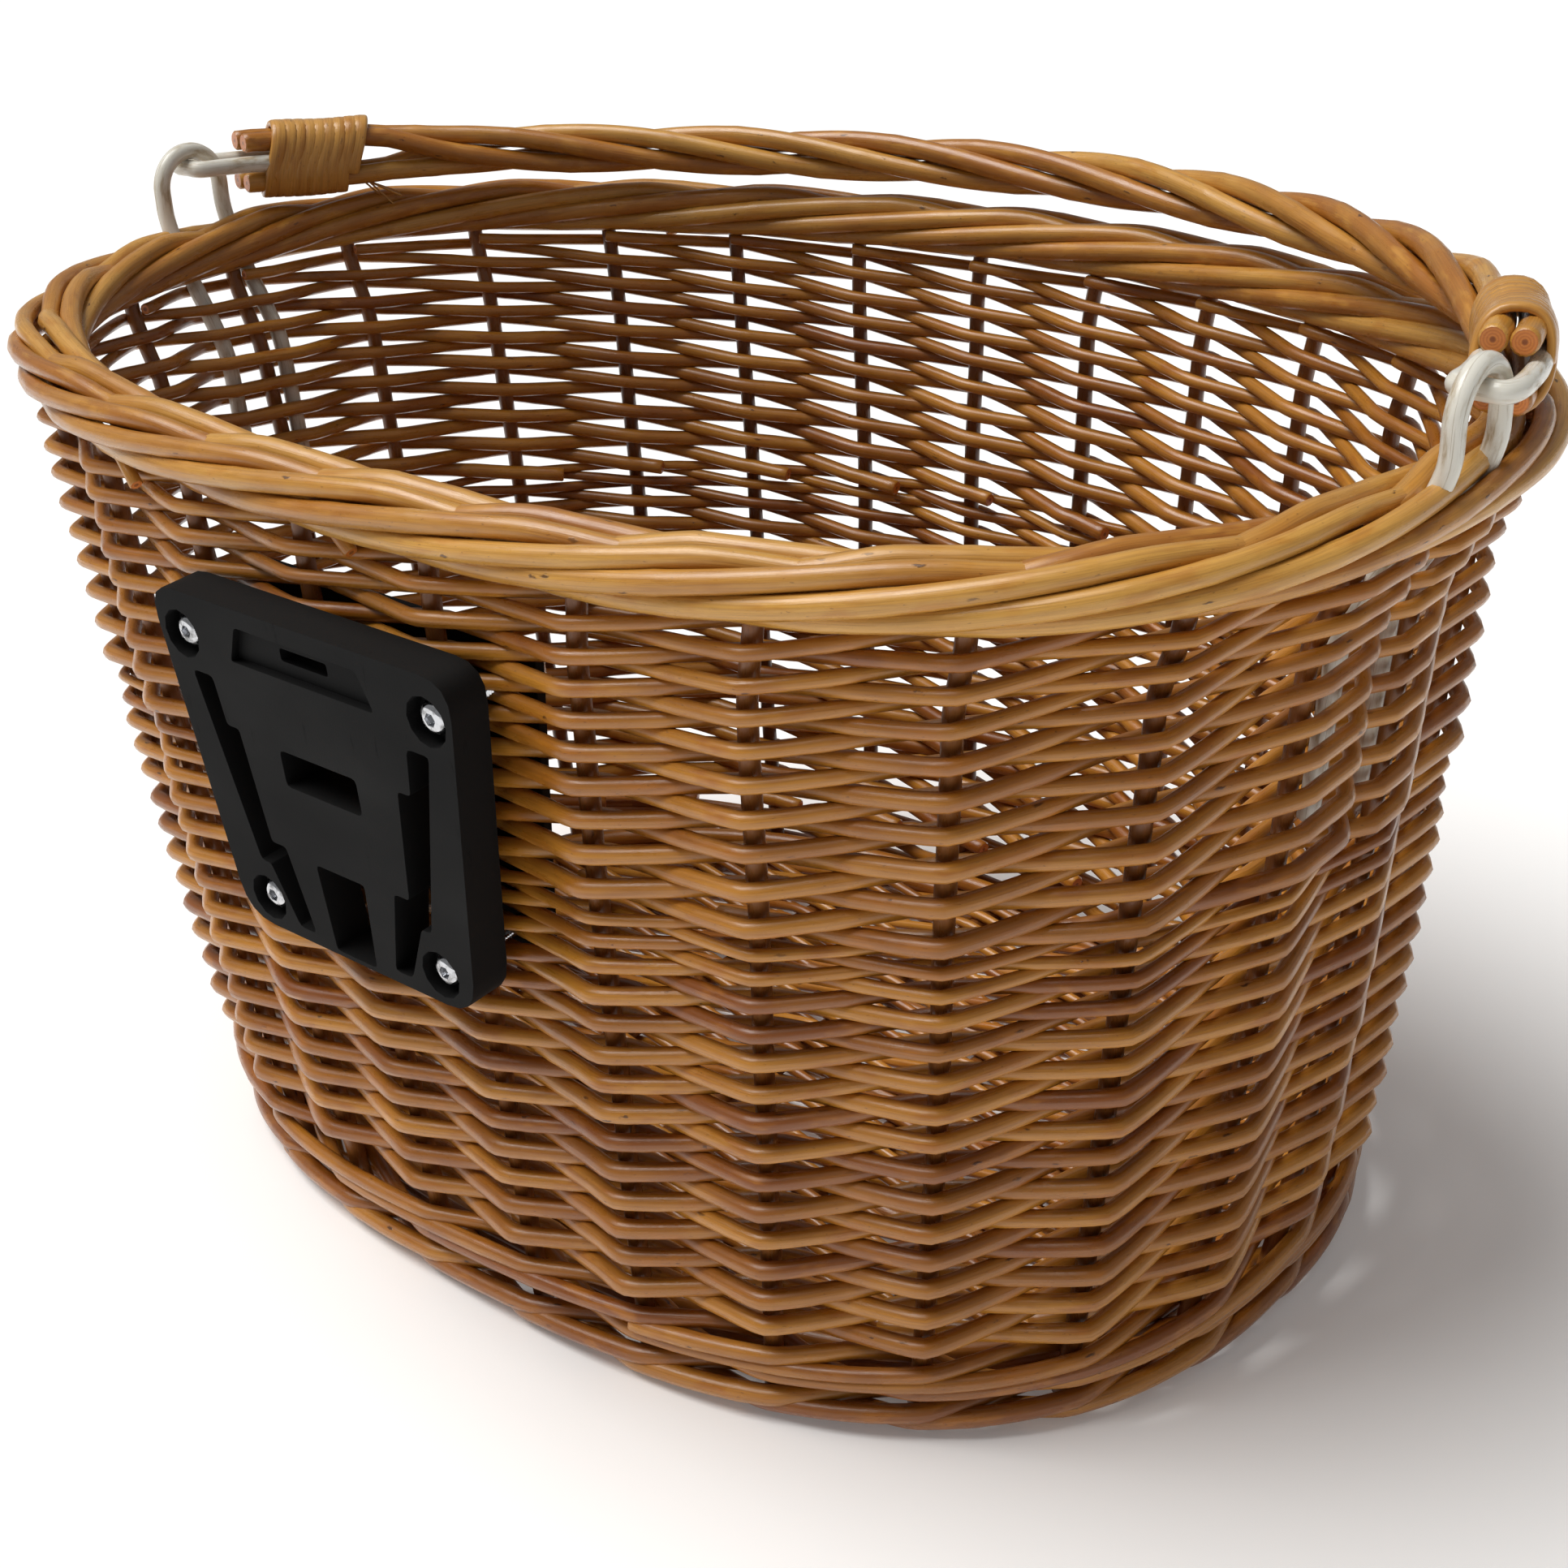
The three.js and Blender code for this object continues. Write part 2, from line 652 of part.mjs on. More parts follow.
// Heights on the plate are shares of its screw row spacing, measured down from the top screws.
const down = (share) => -share * screwRowSpacing;
const sideSlot = [
  [0.40 * topScrewSpacing, down(0.13), 1.5],
  [0.485 * topScrewSpacing, down(0.13), 1.5],
  [0.36 * topScrewSpacing, down(0.84), 1.5],
  [0.32 * topScrewSpacing, down(0.84), 1],
  [0.24 * topScrewSpacing, down(1.07), 1.5],
  [0.17 * topScrewSpacing, down(1.07), 1.5],
  [0.23 * topScrewSpacing, down(0.74), 1],
  [0.29 * topScrewSpacing, down(0.74), 1],
  [0.33 * topScrewSpacing, down(0.31), 1],
  [0.38 * topScrewSpacing, down(0.31), 1],
].reverse();
const middleWindow = [
  [-14, down(0.33), 1.5],
  [-14, down(0.47), 1.5],
  [14, down(0.47), 1.5],
  [14, down(0.33), 1.5],
];
const lowerWindow = [
  [-9, down(0.76), 1.2],
  [-7.5, down(1.1), 1.2],
  [7.5, down(1.1), 1.2],
  [9, down(0.76), 1.2],
];
const topSlot = [
  [-8.5, 4.2, 0.8],
  [-8.5, 0.8, 0.8],
  [8.5, 0.8, 0.8],
  [8.5, 4.2, 0.8],
];
const topRecess = [
  [-22, plateTopY - 5, 1],
  [-26, down(0.04), 1],
  [26, down(0.04), 1],
  [22, plateTopY - 5, 1],
];
const through = plateThickness + 1;
const plateSolid = platePrism(plateOutline, 0, -plateThickness, 4);
const plateCutters = [
  platePrism(sideSlot, 1, -through),
  platePrism(mirrored(sideSlot), 1, -through),
  platePrism(middleWindow, 1, -through),
  platePrism(lowerWindow, 1, -through),
  platePrism(topSlot, 1, -through),
  platePrism(topRecess, 1, -2.2),
  ...screwPlaces.map((place) => barThrough(place, screwRecessDiameter, 1, -screwRecessDepth, 12)),
  ...screwPlaces.map((place) => barThrough(place, screwDiameter + 2 * clearance, 1, -through, 8)),
];
addPiece(plateFrame, 'mounting_plate', cut(plateSolid, plateCutters), blackPlastic);

const backingOutline = [
  [-topScrewSpacing / 2 - 8, 8, 5],
  [-bottomScrewSpacing / 2 - 8, -screwRowSpacing - 8, 5],
  [bottomScrewSpacing / 2 + 8, -screwRowSpacing - 8, 5],
  [topScrewSpacing / 2 + 8, 8, 5],
];
const backingHoles = screwPlaces.map((place) =>
  barThrough(place, screwDiameter + 2 * clearance, backingFront + 1, backingBack - 1, 8),
);
const backing = cut(platePrism(backingOutline, backingFront, backingBack), backingHoles);
addPiece(plateFrame, 'backing_plate', backing, blackPlastic);

const headSeat = -screwRecessDepth + 0.3;
const headTop = headSeat + screwHeadHeight;
screwPlaces.forEach(([x, y], i) => {
  const profile = [
    [0, screwEnd],
    [screwDiameter / 2 - 0.4, screwEnd],
    [screwDiameter / 2, screwEnd + 0.5],
    [screwDiameter / 2, headSeat],
    [screwHeadDiameter / 2, headSeat],
    [screwHeadDiameter / 2 - 0.3, headSeat + 0.45 * screwHeadHeight],
    [screwHeadDiameter / 2 - 1.3, headTop],
    [0, headTop],
  ].map((pair) => new THREE.Vector2(...pair));
  const screw = new THREE.LatheGeometry(profile, 10).rotateX(Math.PI / 2).translate(x, y, 0);
  const socket = barThrough([x, y], (screwSocketWidth * 2) / Math.sqrt(3), headTop + 1, headTop - 1.4, 6);
  addPiece(plateFrame, `plate_screw_${i + 1}`, cut(screw, [socket]), steel);

  const nutTop = backingBack - 0.3;
  const nut = barThrough([x, y], (nutWidth * 2) / Math.sqrt(3), nutTop, nutTop - nutHeight, 6);
  const hole = barThrough([x, y], screwDiameter + 2 * clearance, nutTop + 1, nutTop - nutHeight - 1, 8);
  addPiece(plateFrame, `plate_nut_${i + 1}`, cut(nut, [hole]), steel);
});

// The origin is under the middle of the whole object's box.
const reach = new THREE.Box3().setFromObject(basket, true);
basket.position.y = -(reach.min.y + reach.max.y) / 2;

export default basket;
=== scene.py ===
"""Looks for the wicker handlebar basket. Every rod, stake, skein and wire is a tube of its own, woven round
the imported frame. The plates and nuts are bevelled copies of their CAD nodes, and the screws are turned anew.

Lengths are millimetres until a mesh is made. Shares run round the wall from its right-hand end (+X) towards
the back (+Y), and one stroke is the distance from a stake to the next.
"""
import json
import math

import bpy
import numpy as np
from mathutils import Matrix, Vector


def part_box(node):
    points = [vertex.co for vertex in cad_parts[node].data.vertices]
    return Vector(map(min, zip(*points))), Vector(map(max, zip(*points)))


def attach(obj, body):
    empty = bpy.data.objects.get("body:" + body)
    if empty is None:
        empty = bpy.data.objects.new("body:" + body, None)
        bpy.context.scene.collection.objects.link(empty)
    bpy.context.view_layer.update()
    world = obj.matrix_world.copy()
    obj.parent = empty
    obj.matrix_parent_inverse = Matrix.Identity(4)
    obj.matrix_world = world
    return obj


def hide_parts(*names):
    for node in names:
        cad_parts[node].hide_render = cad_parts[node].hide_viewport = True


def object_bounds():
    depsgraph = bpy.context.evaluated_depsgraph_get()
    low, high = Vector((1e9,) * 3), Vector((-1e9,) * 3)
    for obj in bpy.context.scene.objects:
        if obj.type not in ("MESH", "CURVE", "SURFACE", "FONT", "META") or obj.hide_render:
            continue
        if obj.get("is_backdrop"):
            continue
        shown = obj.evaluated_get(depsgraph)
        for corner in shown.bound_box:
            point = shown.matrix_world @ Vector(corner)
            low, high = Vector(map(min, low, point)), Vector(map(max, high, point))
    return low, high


MM = 0.001
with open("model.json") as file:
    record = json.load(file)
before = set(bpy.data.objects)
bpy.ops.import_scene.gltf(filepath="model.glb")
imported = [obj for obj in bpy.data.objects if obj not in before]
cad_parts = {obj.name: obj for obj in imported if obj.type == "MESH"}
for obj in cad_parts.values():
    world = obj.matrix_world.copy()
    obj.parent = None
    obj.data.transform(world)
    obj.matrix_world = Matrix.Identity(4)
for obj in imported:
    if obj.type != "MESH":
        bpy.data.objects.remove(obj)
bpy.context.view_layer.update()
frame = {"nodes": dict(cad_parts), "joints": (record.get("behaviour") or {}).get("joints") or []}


def box_mm(node):
    low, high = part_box(node)
    return np.array(low) / MM, np.array(high) / MM


# Shape constants that the CAD source sets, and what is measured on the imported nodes.
STAKE_COUNT = 26
STAKE_START = -3
WALL_THICKNESS = 14
FLARE_POWER = 0.733
RIM_LEVEL = 250
FRONT_SQUARENESS = (2.55, 2.97)
BACK_SQUARENESS = (2.2, 2.1)
BORDER_SQUARENESS = (2.78, 1.95)
BORDER_HALF_WIDTH = 11
BORDER_HALF_HEIGHT = 8.6
BORDER_SEAM = 1
HINGE_TO_CENTRE = 22

lower_low, lower_high = box_mm("lower_weave")
upper_low, upper_high = box_mm("upper_weave")
border_low, border_high = box_mm("top_border")
hinge = np.array(frame["joints"][0]["pos_m"]) / MM
centre_y = hinge[1] + HINGE_TO_CENTRE
band_change = upper_low[2]
border_level = border_low[2] + BORDER_HALF_HEIGHT
border_rise = border_high[2] - border_low[2] - 2 * BORDER_HALF_HEIGHT
border_half_length = border_high[0] - BORDER_HALF_WIDTH


# ---- Outlines: the wall's middle surface and the border's centre line.
OUTLINE_STEPS = 1440
LEVEL_STEP = 10
LEVELS = np.arange(0, 281, LEVEL_STEP)


def mix(a, b, share):
    return a + (b - a) * share


def smoothstep(value, low, high):
    part = np.clip((value - low) / (high - low), 0, 1)
    return part * part * (3 - 2 * part)


def unit(vectors):
    return vectors / np.linalg.norm(vectors, axis=-1, keepdims=True)


def oval(angle, half_length, front, back, front_squareness, back_squareness):
    """Points at angles round an oval whose front and back have a reach and a squareness of their own."""
    at_front = np.sin(angle) < 0
    reach = np.where(at_front, front, back)
    power = np.where(at_front, front_squareness, back_squareness)
    across = np.abs(np.cos(angle) / half_length) ** power
    along = np.abs(np.sin(angle) / reach) ** power
    radius = (across + along) ** (-1 / power)
    return np.stack([radius * np.cos(angle), centre_y + radius * np.sin(angle)], -1)


def even_outline(*shape):
    """Points a step of equal length apart round an oval."""
    angle = np.linspace(0, 2 * np.pi, 4 * OUTLINE_STEPS + 1)
    steps = np.linalg.norm(np.diff(oval(angle, *shape), axis=0), axis=1)
    length = np.concatenate([[0], np.cumsum(steps)])
    even = np.interp(np.linspace(0, length[-1], OUTLINE_STEPS + 1), length, angle)
    return oval(even, *shape)


def rise(level):
    return (np.maximum(level, 0) / RIM_LEVEL) ** FLARE_POWER


def flare(low_reach, low_level, high_reach, high_level):
    """A reach at every level of the flaring wall, from its values at two levels."""
    slope = (high_reach - low_reach) / (rise(high_level) - rise(low_level))
    return low_reach + slope * (rise(LEVELS) - rise(low_level)) - WALL_THICKNESS / 2


middle_top = border_low[2] - BORDER_SEAM
half_lengths = flare(lower_high[0], lower_high[2], upper_high[0], upper_high[2])
fronts = flare(centre_y - lower_low[1], lower_high[2], centre_y - upper_low[1], middle_top)
backs = flare(lower_high[1] - centre_y, lower_high[2], upper_high[1] - centre_y, middle_top)
wall_outlines = np.array([
    even_outline(
        half, front, back,
        mix(*FRONT_SQUARENESS, rise(level)), mix(*BACK_SQUARENESS, rise(level)),
    )
    for half, front, back, level in zip(half_lengths, fronts, backs, LEVELS)
])
border_outline = even_outline(
    border_half_length,
    centre_y - border_low[1] - BORDER_HALF_WIDTH,
    border_high[1] - centre_y - BORDER_HALF_WIDTH,
    *BORDER_SQUARENESS,
)
RIM_PERIMETER = 1119.0
start_share = STAKE_START / RIM_PERIMETER


def outward_normals(outline):
    """Outward directions of a closed outline whose last point repeats its first."""
    around = np.roll(outline[..., :-1, :], -1, axis=-2) - np.roll(outline[..., :-1, :], 1, axis=-2)
    normal = unit(np.stack([around[..., 1], -around[..., 0]], -1))
    return np.concatenate([normal, normal[..., :1, :]], axis=-2)


wall_normals = outward_normals(wall_outlines)
border_normals = outward_normals(border_outline)


def read_outline(table, share):
    """Values of a table that runs once round an outline, at shares of the way round."""
    place = (share % 1) * OUTLINE_STEPS
    index = np.minimum(place.astype(int), OUTLINE_STEPS - 1)
    part = (place - index)[..., None]
    return mix(table[index], table[index + 1], part)


def read_levels(tables, share, level):
    """The same from tables of several levels, at levels in mm."""
    place = np.clip(level / LEVEL_STEP, 0, len(LEVELS) - 1.001)
    row = place.astype(int)
    column = (share % 1) * OUTLINE_STEPS
    index = np.minimum(column.astype(int), OUTLINE_STEPS - 1)
    up, along = (place - row)[..., None], (column - index)[..., None]
    below = mix(tables[row, index], tables[row, index + 1], along)
    above = mix(tables[row + 1, index], tables[row + 1, index + 1], along)
    return mix(below, above, up)


# How far the top of the wall leans over to the border, from how far below it, and how straight rods run
# from stake to stake.
TOP_LEAN = 0.8
LEAN_DEPTH = 18
STRAIGHTNESS = 0.8


def wall(stroke, level, outwards=0.0):
    """Points of the wall's middle surface at strokes and levels, moved outwards."""
    stroke, level, outwards = np.broadcast_arrays(
        *[np.asarray(v, float) for v in (stroke, level, outwards)])
    share = start_share + stroke / STAKE_COUNT
    flat = read_levels(wall_outlines, share, level)
    lean = TOP_LEAN * smoothstep(level, middle_top - LEAN_DEPTH, border_level)
    flat = mix(flat, read_outline(border_outline, share), lean[..., None])
    flat = flat + read_levels(wall_normals, share, level) * outwards[..., None]
    return np.concatenate([flat, level[..., None]], -1)


def woven(stroke, level, outwards):
    """Points of the wall for a rod that runs nearly straight from each stake to the next."""
    gap = np.floor(stroke)
    on_wall = wall(stroke, level)
    chord = mix(wall(gap, level), wall(gap + 1, level), (stroke - gap)[:, None])
    return mix(on_wall, chord, STRAIGHTNESS) + wall(stroke, level, outwards) - on_wall


def border(stroke, outwards=0.0, upwards=0.0):
    """Points beside the border's centre line, which rises towards both ends of the basket."""
    share = start_share + np.asarray(stroke, float) / STAKE_COUNT
    flat = read_outline(border_outline, share)
    height = border_level + border_rise * (flat[..., 0] / border_half_length) ** 2 + upwards
    flat = flat + read_outline(border_normals, share) * np.asarray(outwards)[..., None]
    return np.concatenate([flat, height[..., None]], -1)


def band_top(stroke):
    return border(stroke)[..., 2] - BORDER_HALF_HEIGHT - BORDER_SEAM


def wander(rng, place, size, spacing):
    """A smooth random drift about zero along place, with a new value every spacing."""
    steps = (place - place[0]) / spacing
    index = steps.astype(int)
    values = rng.normal(0, size, index[-1] + 2)
    part = smoothstep(steps - index, 0, 1)
    return mix(values[index], values[index + 1], part)


def smooth_path(points, per_span):
    """A Catmull-Rom curve through points."""
    points = np.asarray(points, float)
    ends = [2 * points[0] - points[1], 2 * points[-1] - points[-2]]
    p = np.concatenate([ends[:1], points, ends[1:]])
    place = np.linspace(0, len(points) - 1, (len(points) - 1) * per_span + 1)
    index = np.minimum(place.astype(int), len(points) - 2)
    t = (place - index)[:, None]
    before, start, end, after = p[index], p[index + 1], p[index + 2], p[index + 3]
    bend = (2 * before - 5 * start + 4 * end - after) * t + (3 * (start - end) + after - before) * t * t
    return start + 0.5 * t * (end - before + bend)


# ---- Rod meshes.
CAP_BEVEL = 0.16
FLAT_SECTION_POWER = 0.6
KNOT_SPACING = 41
KNOT_SCATTER = 14
KNOT_HALF_LENGTH = 2.6


class RodMesh:
    """Gathers rods into one mesh, with the attributes that the materials read:
    grain is the distance along the rod and the place in its section, tone is a random value for each rod,
    and cut is 1 on its sawn ends."""

    def __init__(self, seed):
        self.rng = np.random.default_rng(seed)
        self.points, self.faces, self.grain, self.tone, self.cut = [], [], [], [], []
        self.count = 0

    def _add_points(self, points, grain, tone, cut):
        self.points.append(points)
        self.grain.append(grain)
        self.tone.append(np.full(len(points), tone))
        self.cut.append(np.full(len(points), cut))
        first = self.count
        self.count += len(points)
        return first

    def rod(self, path, radius, reference=(0, 0, 1), sides=10, thickness=None, tone=None, cut=1.0,
            knots=0.05):
        """A rod along path. thickness flattens its section towards the reference direction, and knots is how
        much its swellings add to the radius."""
        path = np.asarray(path, float)
        count = len(path)
        radius = np.broadcast_to(np.asarray(radius, float), (count,)).copy()
        tone = self.rng.random() if tone is None else tone
        steps = np.linalg.norm(np.diff(path, axis=0), axis=1)
        distance = np.concatenate([[0], np.cumsum(steps)])
        seed = self.rng.random() * 4000
        for knot in np.arange(self.rng.uniform(5, 40), distance[-1], KNOT_SPACING):
            knot += self.rng.uniform(-KNOT_SCATTER, KNOT_SCATTER)
            radius *= 1 + knots * np.exp(-(((distance - knot) / KNOT_HALF_LENGTH) ** 2))
        tangent = unit(np.gradient(path, axis=0))
        side = unit(np.cross(tangent, np.broadcast_to(reference, path.shape)))
        up = np.cross(side, tangent)
        angle = 2 * np.pi * np.arange(sides) / sides
        if thickness is None:
            across, over = np.cos(angle), np.sin(angle)
            height = radius
        else:
            across = np.sign(np.cos(angle)) * np.abs(np.cos(angle)) ** FLAT_SECTION_POWER
            over = np.sign(np.sin(angle)) * np.abs(np.sin(angle)) ** FLAT_SECTION_POWER
            height = np.broadcast_to(thickness / 2, (count,))

        def section(index, scale, shift):
            centre = path[index] + tangent[index] * shift
            offset = (side[index] * (across * radius[index])[:, None]
                      + up[index] * (over * height[index])[:, None]) * scale
            grain = np.stack([np.full(sides, distance[index] + seed), across * radius[index] * scale,
                              over * height[index] * scale], -1)
            return centre + offset, grain

        rings = [section(i, 1.0, 0.0) for i in range(count)]
        bevel = CAP_BEVEL * radius[[0, -1]]
        caps = [section(0, 1 - CAP_BEVEL, -bevel[0]), section(-1, 1 - CAP_BEVEL, bevel[1])]
        rings = [caps[0], *rings, caps[1]]
        all_points = np.concatenate([ring[0] for ring in rings])
        all_grain = np.concatenate([ring[1] for ring in rings])
        first = self._add_points(all_points, all_grain, tone, 0.0)
        i = np.arange(count + 1)[:, None] * sides
        j, k = np.arange(sides)[None], (np.arange(sides)[None] + 1) % sides
        quads = np.stack([i + j, i + k, i + sides + k, i + sides + j], -1).reshape(-1, 4) + first
        self.faces.extend(quads[:, ::-1].tolist())
        for (points, grain), forward in zip(caps, (False, True)):
            start = self._add_points(points, grain, tone, cut)
            loop = list(range(start, start + sides))
            self.faces.append(loop if not forward else loop[::-1])

    def build(self, name, material, body, slot_name, *replaced):
        mesh = bpy.data.meshes.new(name)
        mesh.from_pydata((np.concatenate(self.points) * MM).tolist(), [], self.faces)
        mesh.shade_smooth()
        for key, kind, values in (("grain", "FLOAT_VECTOR", self.grain), ("tone", "FLOAT", self.tone),
                                  ("cut", "FLOAT", self.cut)):
            attribute = mesh.attributes.new(key, kind, "POINT")
            field = "vector" if kind == "FLOAT_VECTOR" else "value"
            attribute.data.foreach_set(field, np.concatenate(values).astype(np.float32).ravel())
        mesh.validate()
        return add_piece(name, mesh, material, body, slot_name, *replaced)


def add_piece(name, mesh, material, body, slot_name, *replaced):
    piece = bpy.data.objects.new(name, mesh)
    bpy.context.scene.collection.objects.link(piece)
    mesh.materials.clear()
    mesh.materials.append(material)
    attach(piece, body)
    if replaced:
        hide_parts(*replaced)
    return piece


# ---- Materials.
def linear(red, green, blue):
    """A colour given as sRGB values from 0 to 255."""
    return tuple((c / 255) ** 2.2 for c in (red, green, blue)) + (1.0,)


class Nodes:
    """Short forms for the nodes of one material."""

    def __init__(self, name):
        self.material = bpy.data.materials.new(name)
        self.material.use_nodes = True
        self.tree = self.material.node_tree
        self.shader = self.tree.nodes["Principled BSDF"]

    def add(self, kind, inputs=None, **settings):
        made = self.tree.nodes.new(kind)
        for key, value in settings.items():
            setattr(made, key, value)
        for key, value in (inputs or {}).items():
            if isinstance(value, bpy.types.NodeSocket):
                self.tree.links.new(value, made.inputs[key])
            else:
                made.inputs[key].default_value = value
        return made

    def attribute(self, name):
        return self.add("ShaderNodeAttribute", attribute_name=name)

    def stretch(self, vector, scale):
        return self.add("ShaderNodeVectorMath", {0: vector, 1: scale}, operation="MULTIPLY").outputs[0]

    def noise(self, vector, scale=1.0, detail=2.0, roughness=0.5):
        inputs = {"Vector": vector, "Scale": scale, "Detail": detail, "Roughness": roughness}
        return self.add("ShaderNodeTexNoise", inputs).outputs[0]

    def spots(self, vector, size):
        """1 inside scattered round spots, 0 outside."""
        cell = self.add("ShaderNodeTexVoronoi", {"Vector": vector, "Scale": 1.0}).outputs["Distance"]
        return self.ramp(cell, size, size * 0.45)

    def ramp(self, value, low, high):
        """0 at low and 1 at high, held beyond them."""
        inputs = {"Value": value, "From Min": low, "From Max": high}
        return self.add("ShaderNodeMapRange", inputs, interpolation_type="SMOOTHSTEP").outputs[0]

    def math(self, operation, a, b):
        return self.add("ShaderNodeMath", {0: a, 1: b}, operation=operation).outputs[0]

    def blend(self, factor, a, b, mode="MIX"):
        made = self.add("ShaderNodeMix", data_type="RGBA", blend_type=mode)
        for key, value in ((0, factor), (6, a), (7, b)):
            if isinstance(value, bpy.types.NodeSocket):
                self.tree.links.new(value, made.inputs[key])
            else:
                made.inputs[key].default_value = value
        return made.outputs[2]

    def link(self, output, name):
        self.tree.links.new(output, self.shader.inputs[name])

    def bump(self, height, strength, distance):
        inputs = {"Height": height, "Strength": strength, "Distance": distance}
        self.link(self.add("ShaderNodeBump", inputs).outputs[0], "Normal")

    def set(self, **values):
        for key, value in values.items():
            self.shader.inputs[key.replace("_", " ")].default_value = value


def willow(name, pale, middle, deep, knot_amount=0.8, coat=0.4):
    """Varnished willow: fibres, blotches, dark buds and specks, and orange sawn ends with growth rings."""
    n = Nodes(name)
    grain = n.attribute("grain").outputs["Vector"]
    tone = n.attribute("tone").outputs["Fac"]
    cut = n.attribute("cut").outputs["Fac"]
    blotch = n.noise(n.stretch(grain, (0.035, 0.16, 0.16)), detail=3.0)
    fibre = n.noise(n.stretch(grain, (0.05, 2.4, 2.4)), detail=4.0, roughness=0.65)
    shade = n.math("ADD", n.math("MULTIPLY", tone, 0.55), n.math("MULTIPLY", blotch, 0.75))
    shade = n.ramp(shade, 0.3, 0.95)
    colour = n.blend(shade, deep, pale)
    patch = n.noise(n.stretch(grain, (0.09, 0.3, 0.3)), detail=2.0)
    colour = n.blend(n.ramp(patch, 0.5, 0.72), colour, middle)
    streak = n.ramp(fibre, 0.38, 0.66)
    colour = n.blend(n.math("MULTIPLY", streak, 0.3), colour, linear(122, 74, 28))
    gate = n.ramp(n.noise(n.stretch(grain, (0.02, 0.05, 0.05)), detail=0.0), 0.40, 0.55)
    uneven = n.add("ShaderNodeTexNoise", {"Vector": grain, "Scale": 0.9, "Detail": 2.0}).outputs["Color"]
    ragged = n.add("ShaderNodeVectorMath", {0: grain, 1: uneven}, operation="ADD").outputs[0]
    bud = n.math("MULTIPLY", n.spots(n.stretch(ragged, (0.07, 0.26, 0.26)), 0.12), gate)
    speck = n.spots(n.stretch(ragged, (0.2, 0.7, 0.7)), 0.13)
    colour = n.blend(n.math("MULTIPLY", bud, knot_amount), colour, linear(58, 26, 8))
    colour = n.blend(n.math("MULTIPLY", speck, 0.45), colour, linear(92, 52, 20))
    section = n.stretch(grain, (0.0, 1.0, 1.0))
    radius = n.add("ShaderNodeVectorMath", {0: section}, operation="LENGTH").outputs["Value"]
    rings = n.math("SINE", n.math("MULTIPLY", radius, 9.0), 0.0)
    sawn = n.blend(n.ramp(rings, -1.0, 1.0), linear(196, 110, 48), linear(214, 132, 62))
    sawn = n.blend(n.ramp(radius, 0.9, 0.35), sawn, linear(140, 74, 30))
    colour = n.blend(cut, colour, sawn)
    n.link(colour, "Base Color")
    n.link(n.ramp(n.noise(n.stretch(grain, (0.12, 0.5, 0.5)), detail=3.0), -0.35, 1.9), "Roughness")
    n.set(Coat_Weight=coat, Coat_Roughness=0.28, Specular_IOR_Level=0.5)
    height = n.math("ADD", n.math("MULTIPLY", fibre, 0.5), n.math("MULTIPLY", bud, 0.4))
    n.bump(height, 0.5, 0.0004)
    return n.material


def plastic():
    """Black moulded plastic: a fine spark-eroded grain, soft flow marks and greyish handling scuffs."""
    n = Nodes("moulded_black_plastic")
    place = n.add("ShaderNodeTexCoord").outputs["Object"]
    flow = n.noise(n.stretch(place, (18.0, 18.0, 30.0)), detail=3.0)
    grit = n.noise(place, scale=2600.0, detail=2.0)
    scuff = n.ramp(n.noise(n.stretch(place, (260.0, 260.0, 40.0)), detail=5.0, roughness=0.7), 0.6, 0.78)
    colour = n.blend(n.ramp(flow, 0.3, 0.7), linear(5, 5, 6), linear(11, 11, 12))
    colour = n.blend(n.math("MULTIPLY", scuff, 0.2), colour, linear(34, 34, 36))
    n.link(colour, "Base Color")
    dullness = n.math("ADD", n.math("MULTIPLY", flow, 0.4), n.math("MULTIPLY", scuff, 0.3))
    n.link(n.ramp(dullness, -0.9, 0.75), "Roughness")
    n.set(Specular_IOR_Level=0.22)
    n.bump(n.math("ADD", n.math("MULTIPLY", grit, 0.4), flow), 0.25, 0.0003)
    return n.material


def steel():
    """Plated steel with a turned sheen and a few dull spots."""
    n = Nodes("plated_steel")
    place = n.add("ShaderNodeTexCoord").outputs["Object"]
    dull = n.ramp(n.noise(place, scale=420.0, detail=4.0, roughness=0.6), 0.42, 0.7)
    n.link(n.blend(dull, linear(214, 216, 220), linear(150, 150, 150)), "Base Color")
    n.link(n.ramp(dull, -0.6, 2.6), "Roughness")
    n.set(Metallic=1.0)
    n.bump(n.noise(place, scale=1500.0, detail=2.0), 0.12, 0.0001)
    return n.material


def coated_wire():
    """Off-white plastic-coated wire with brown dirt rubbed into it and long scratches."""
    n = Nodes("coated_wire")
    grain = n.attribute("grain").outputs["Vector"]
    dirt = n.ramp(n.noise(n.stretch(grain, (0.09, 0.35, 0.35)), detail=5.0, roughness=0.62), 0.46, 0.72)
    scratch = n.ramp(n.noise(n.stretch(grain, (0.06, 3.0, 3.0)), detail=3.0), 0.6, 0.7)
    colour = n.blend(dirt, linear(226, 223, 212), linear(168, 148, 116))
    colour = n.blend(n.math("MULTIPLY", scratch, 0.5), colour, linear(140, 116, 84))
    n.link(colour, "Base Color")
    n.link(n.ramp(dirt, -0.8, 2.2), "Roughness")
    n.set(Subsurface_Weight=0.08, Subsurface_Radius=(0.002, 0.0018, 0.0012), Specular_IOR_Level=0.5)
    n.bump(n.math("ADD", dirt, scratch), 0.3, 0.0002)
    return n.material


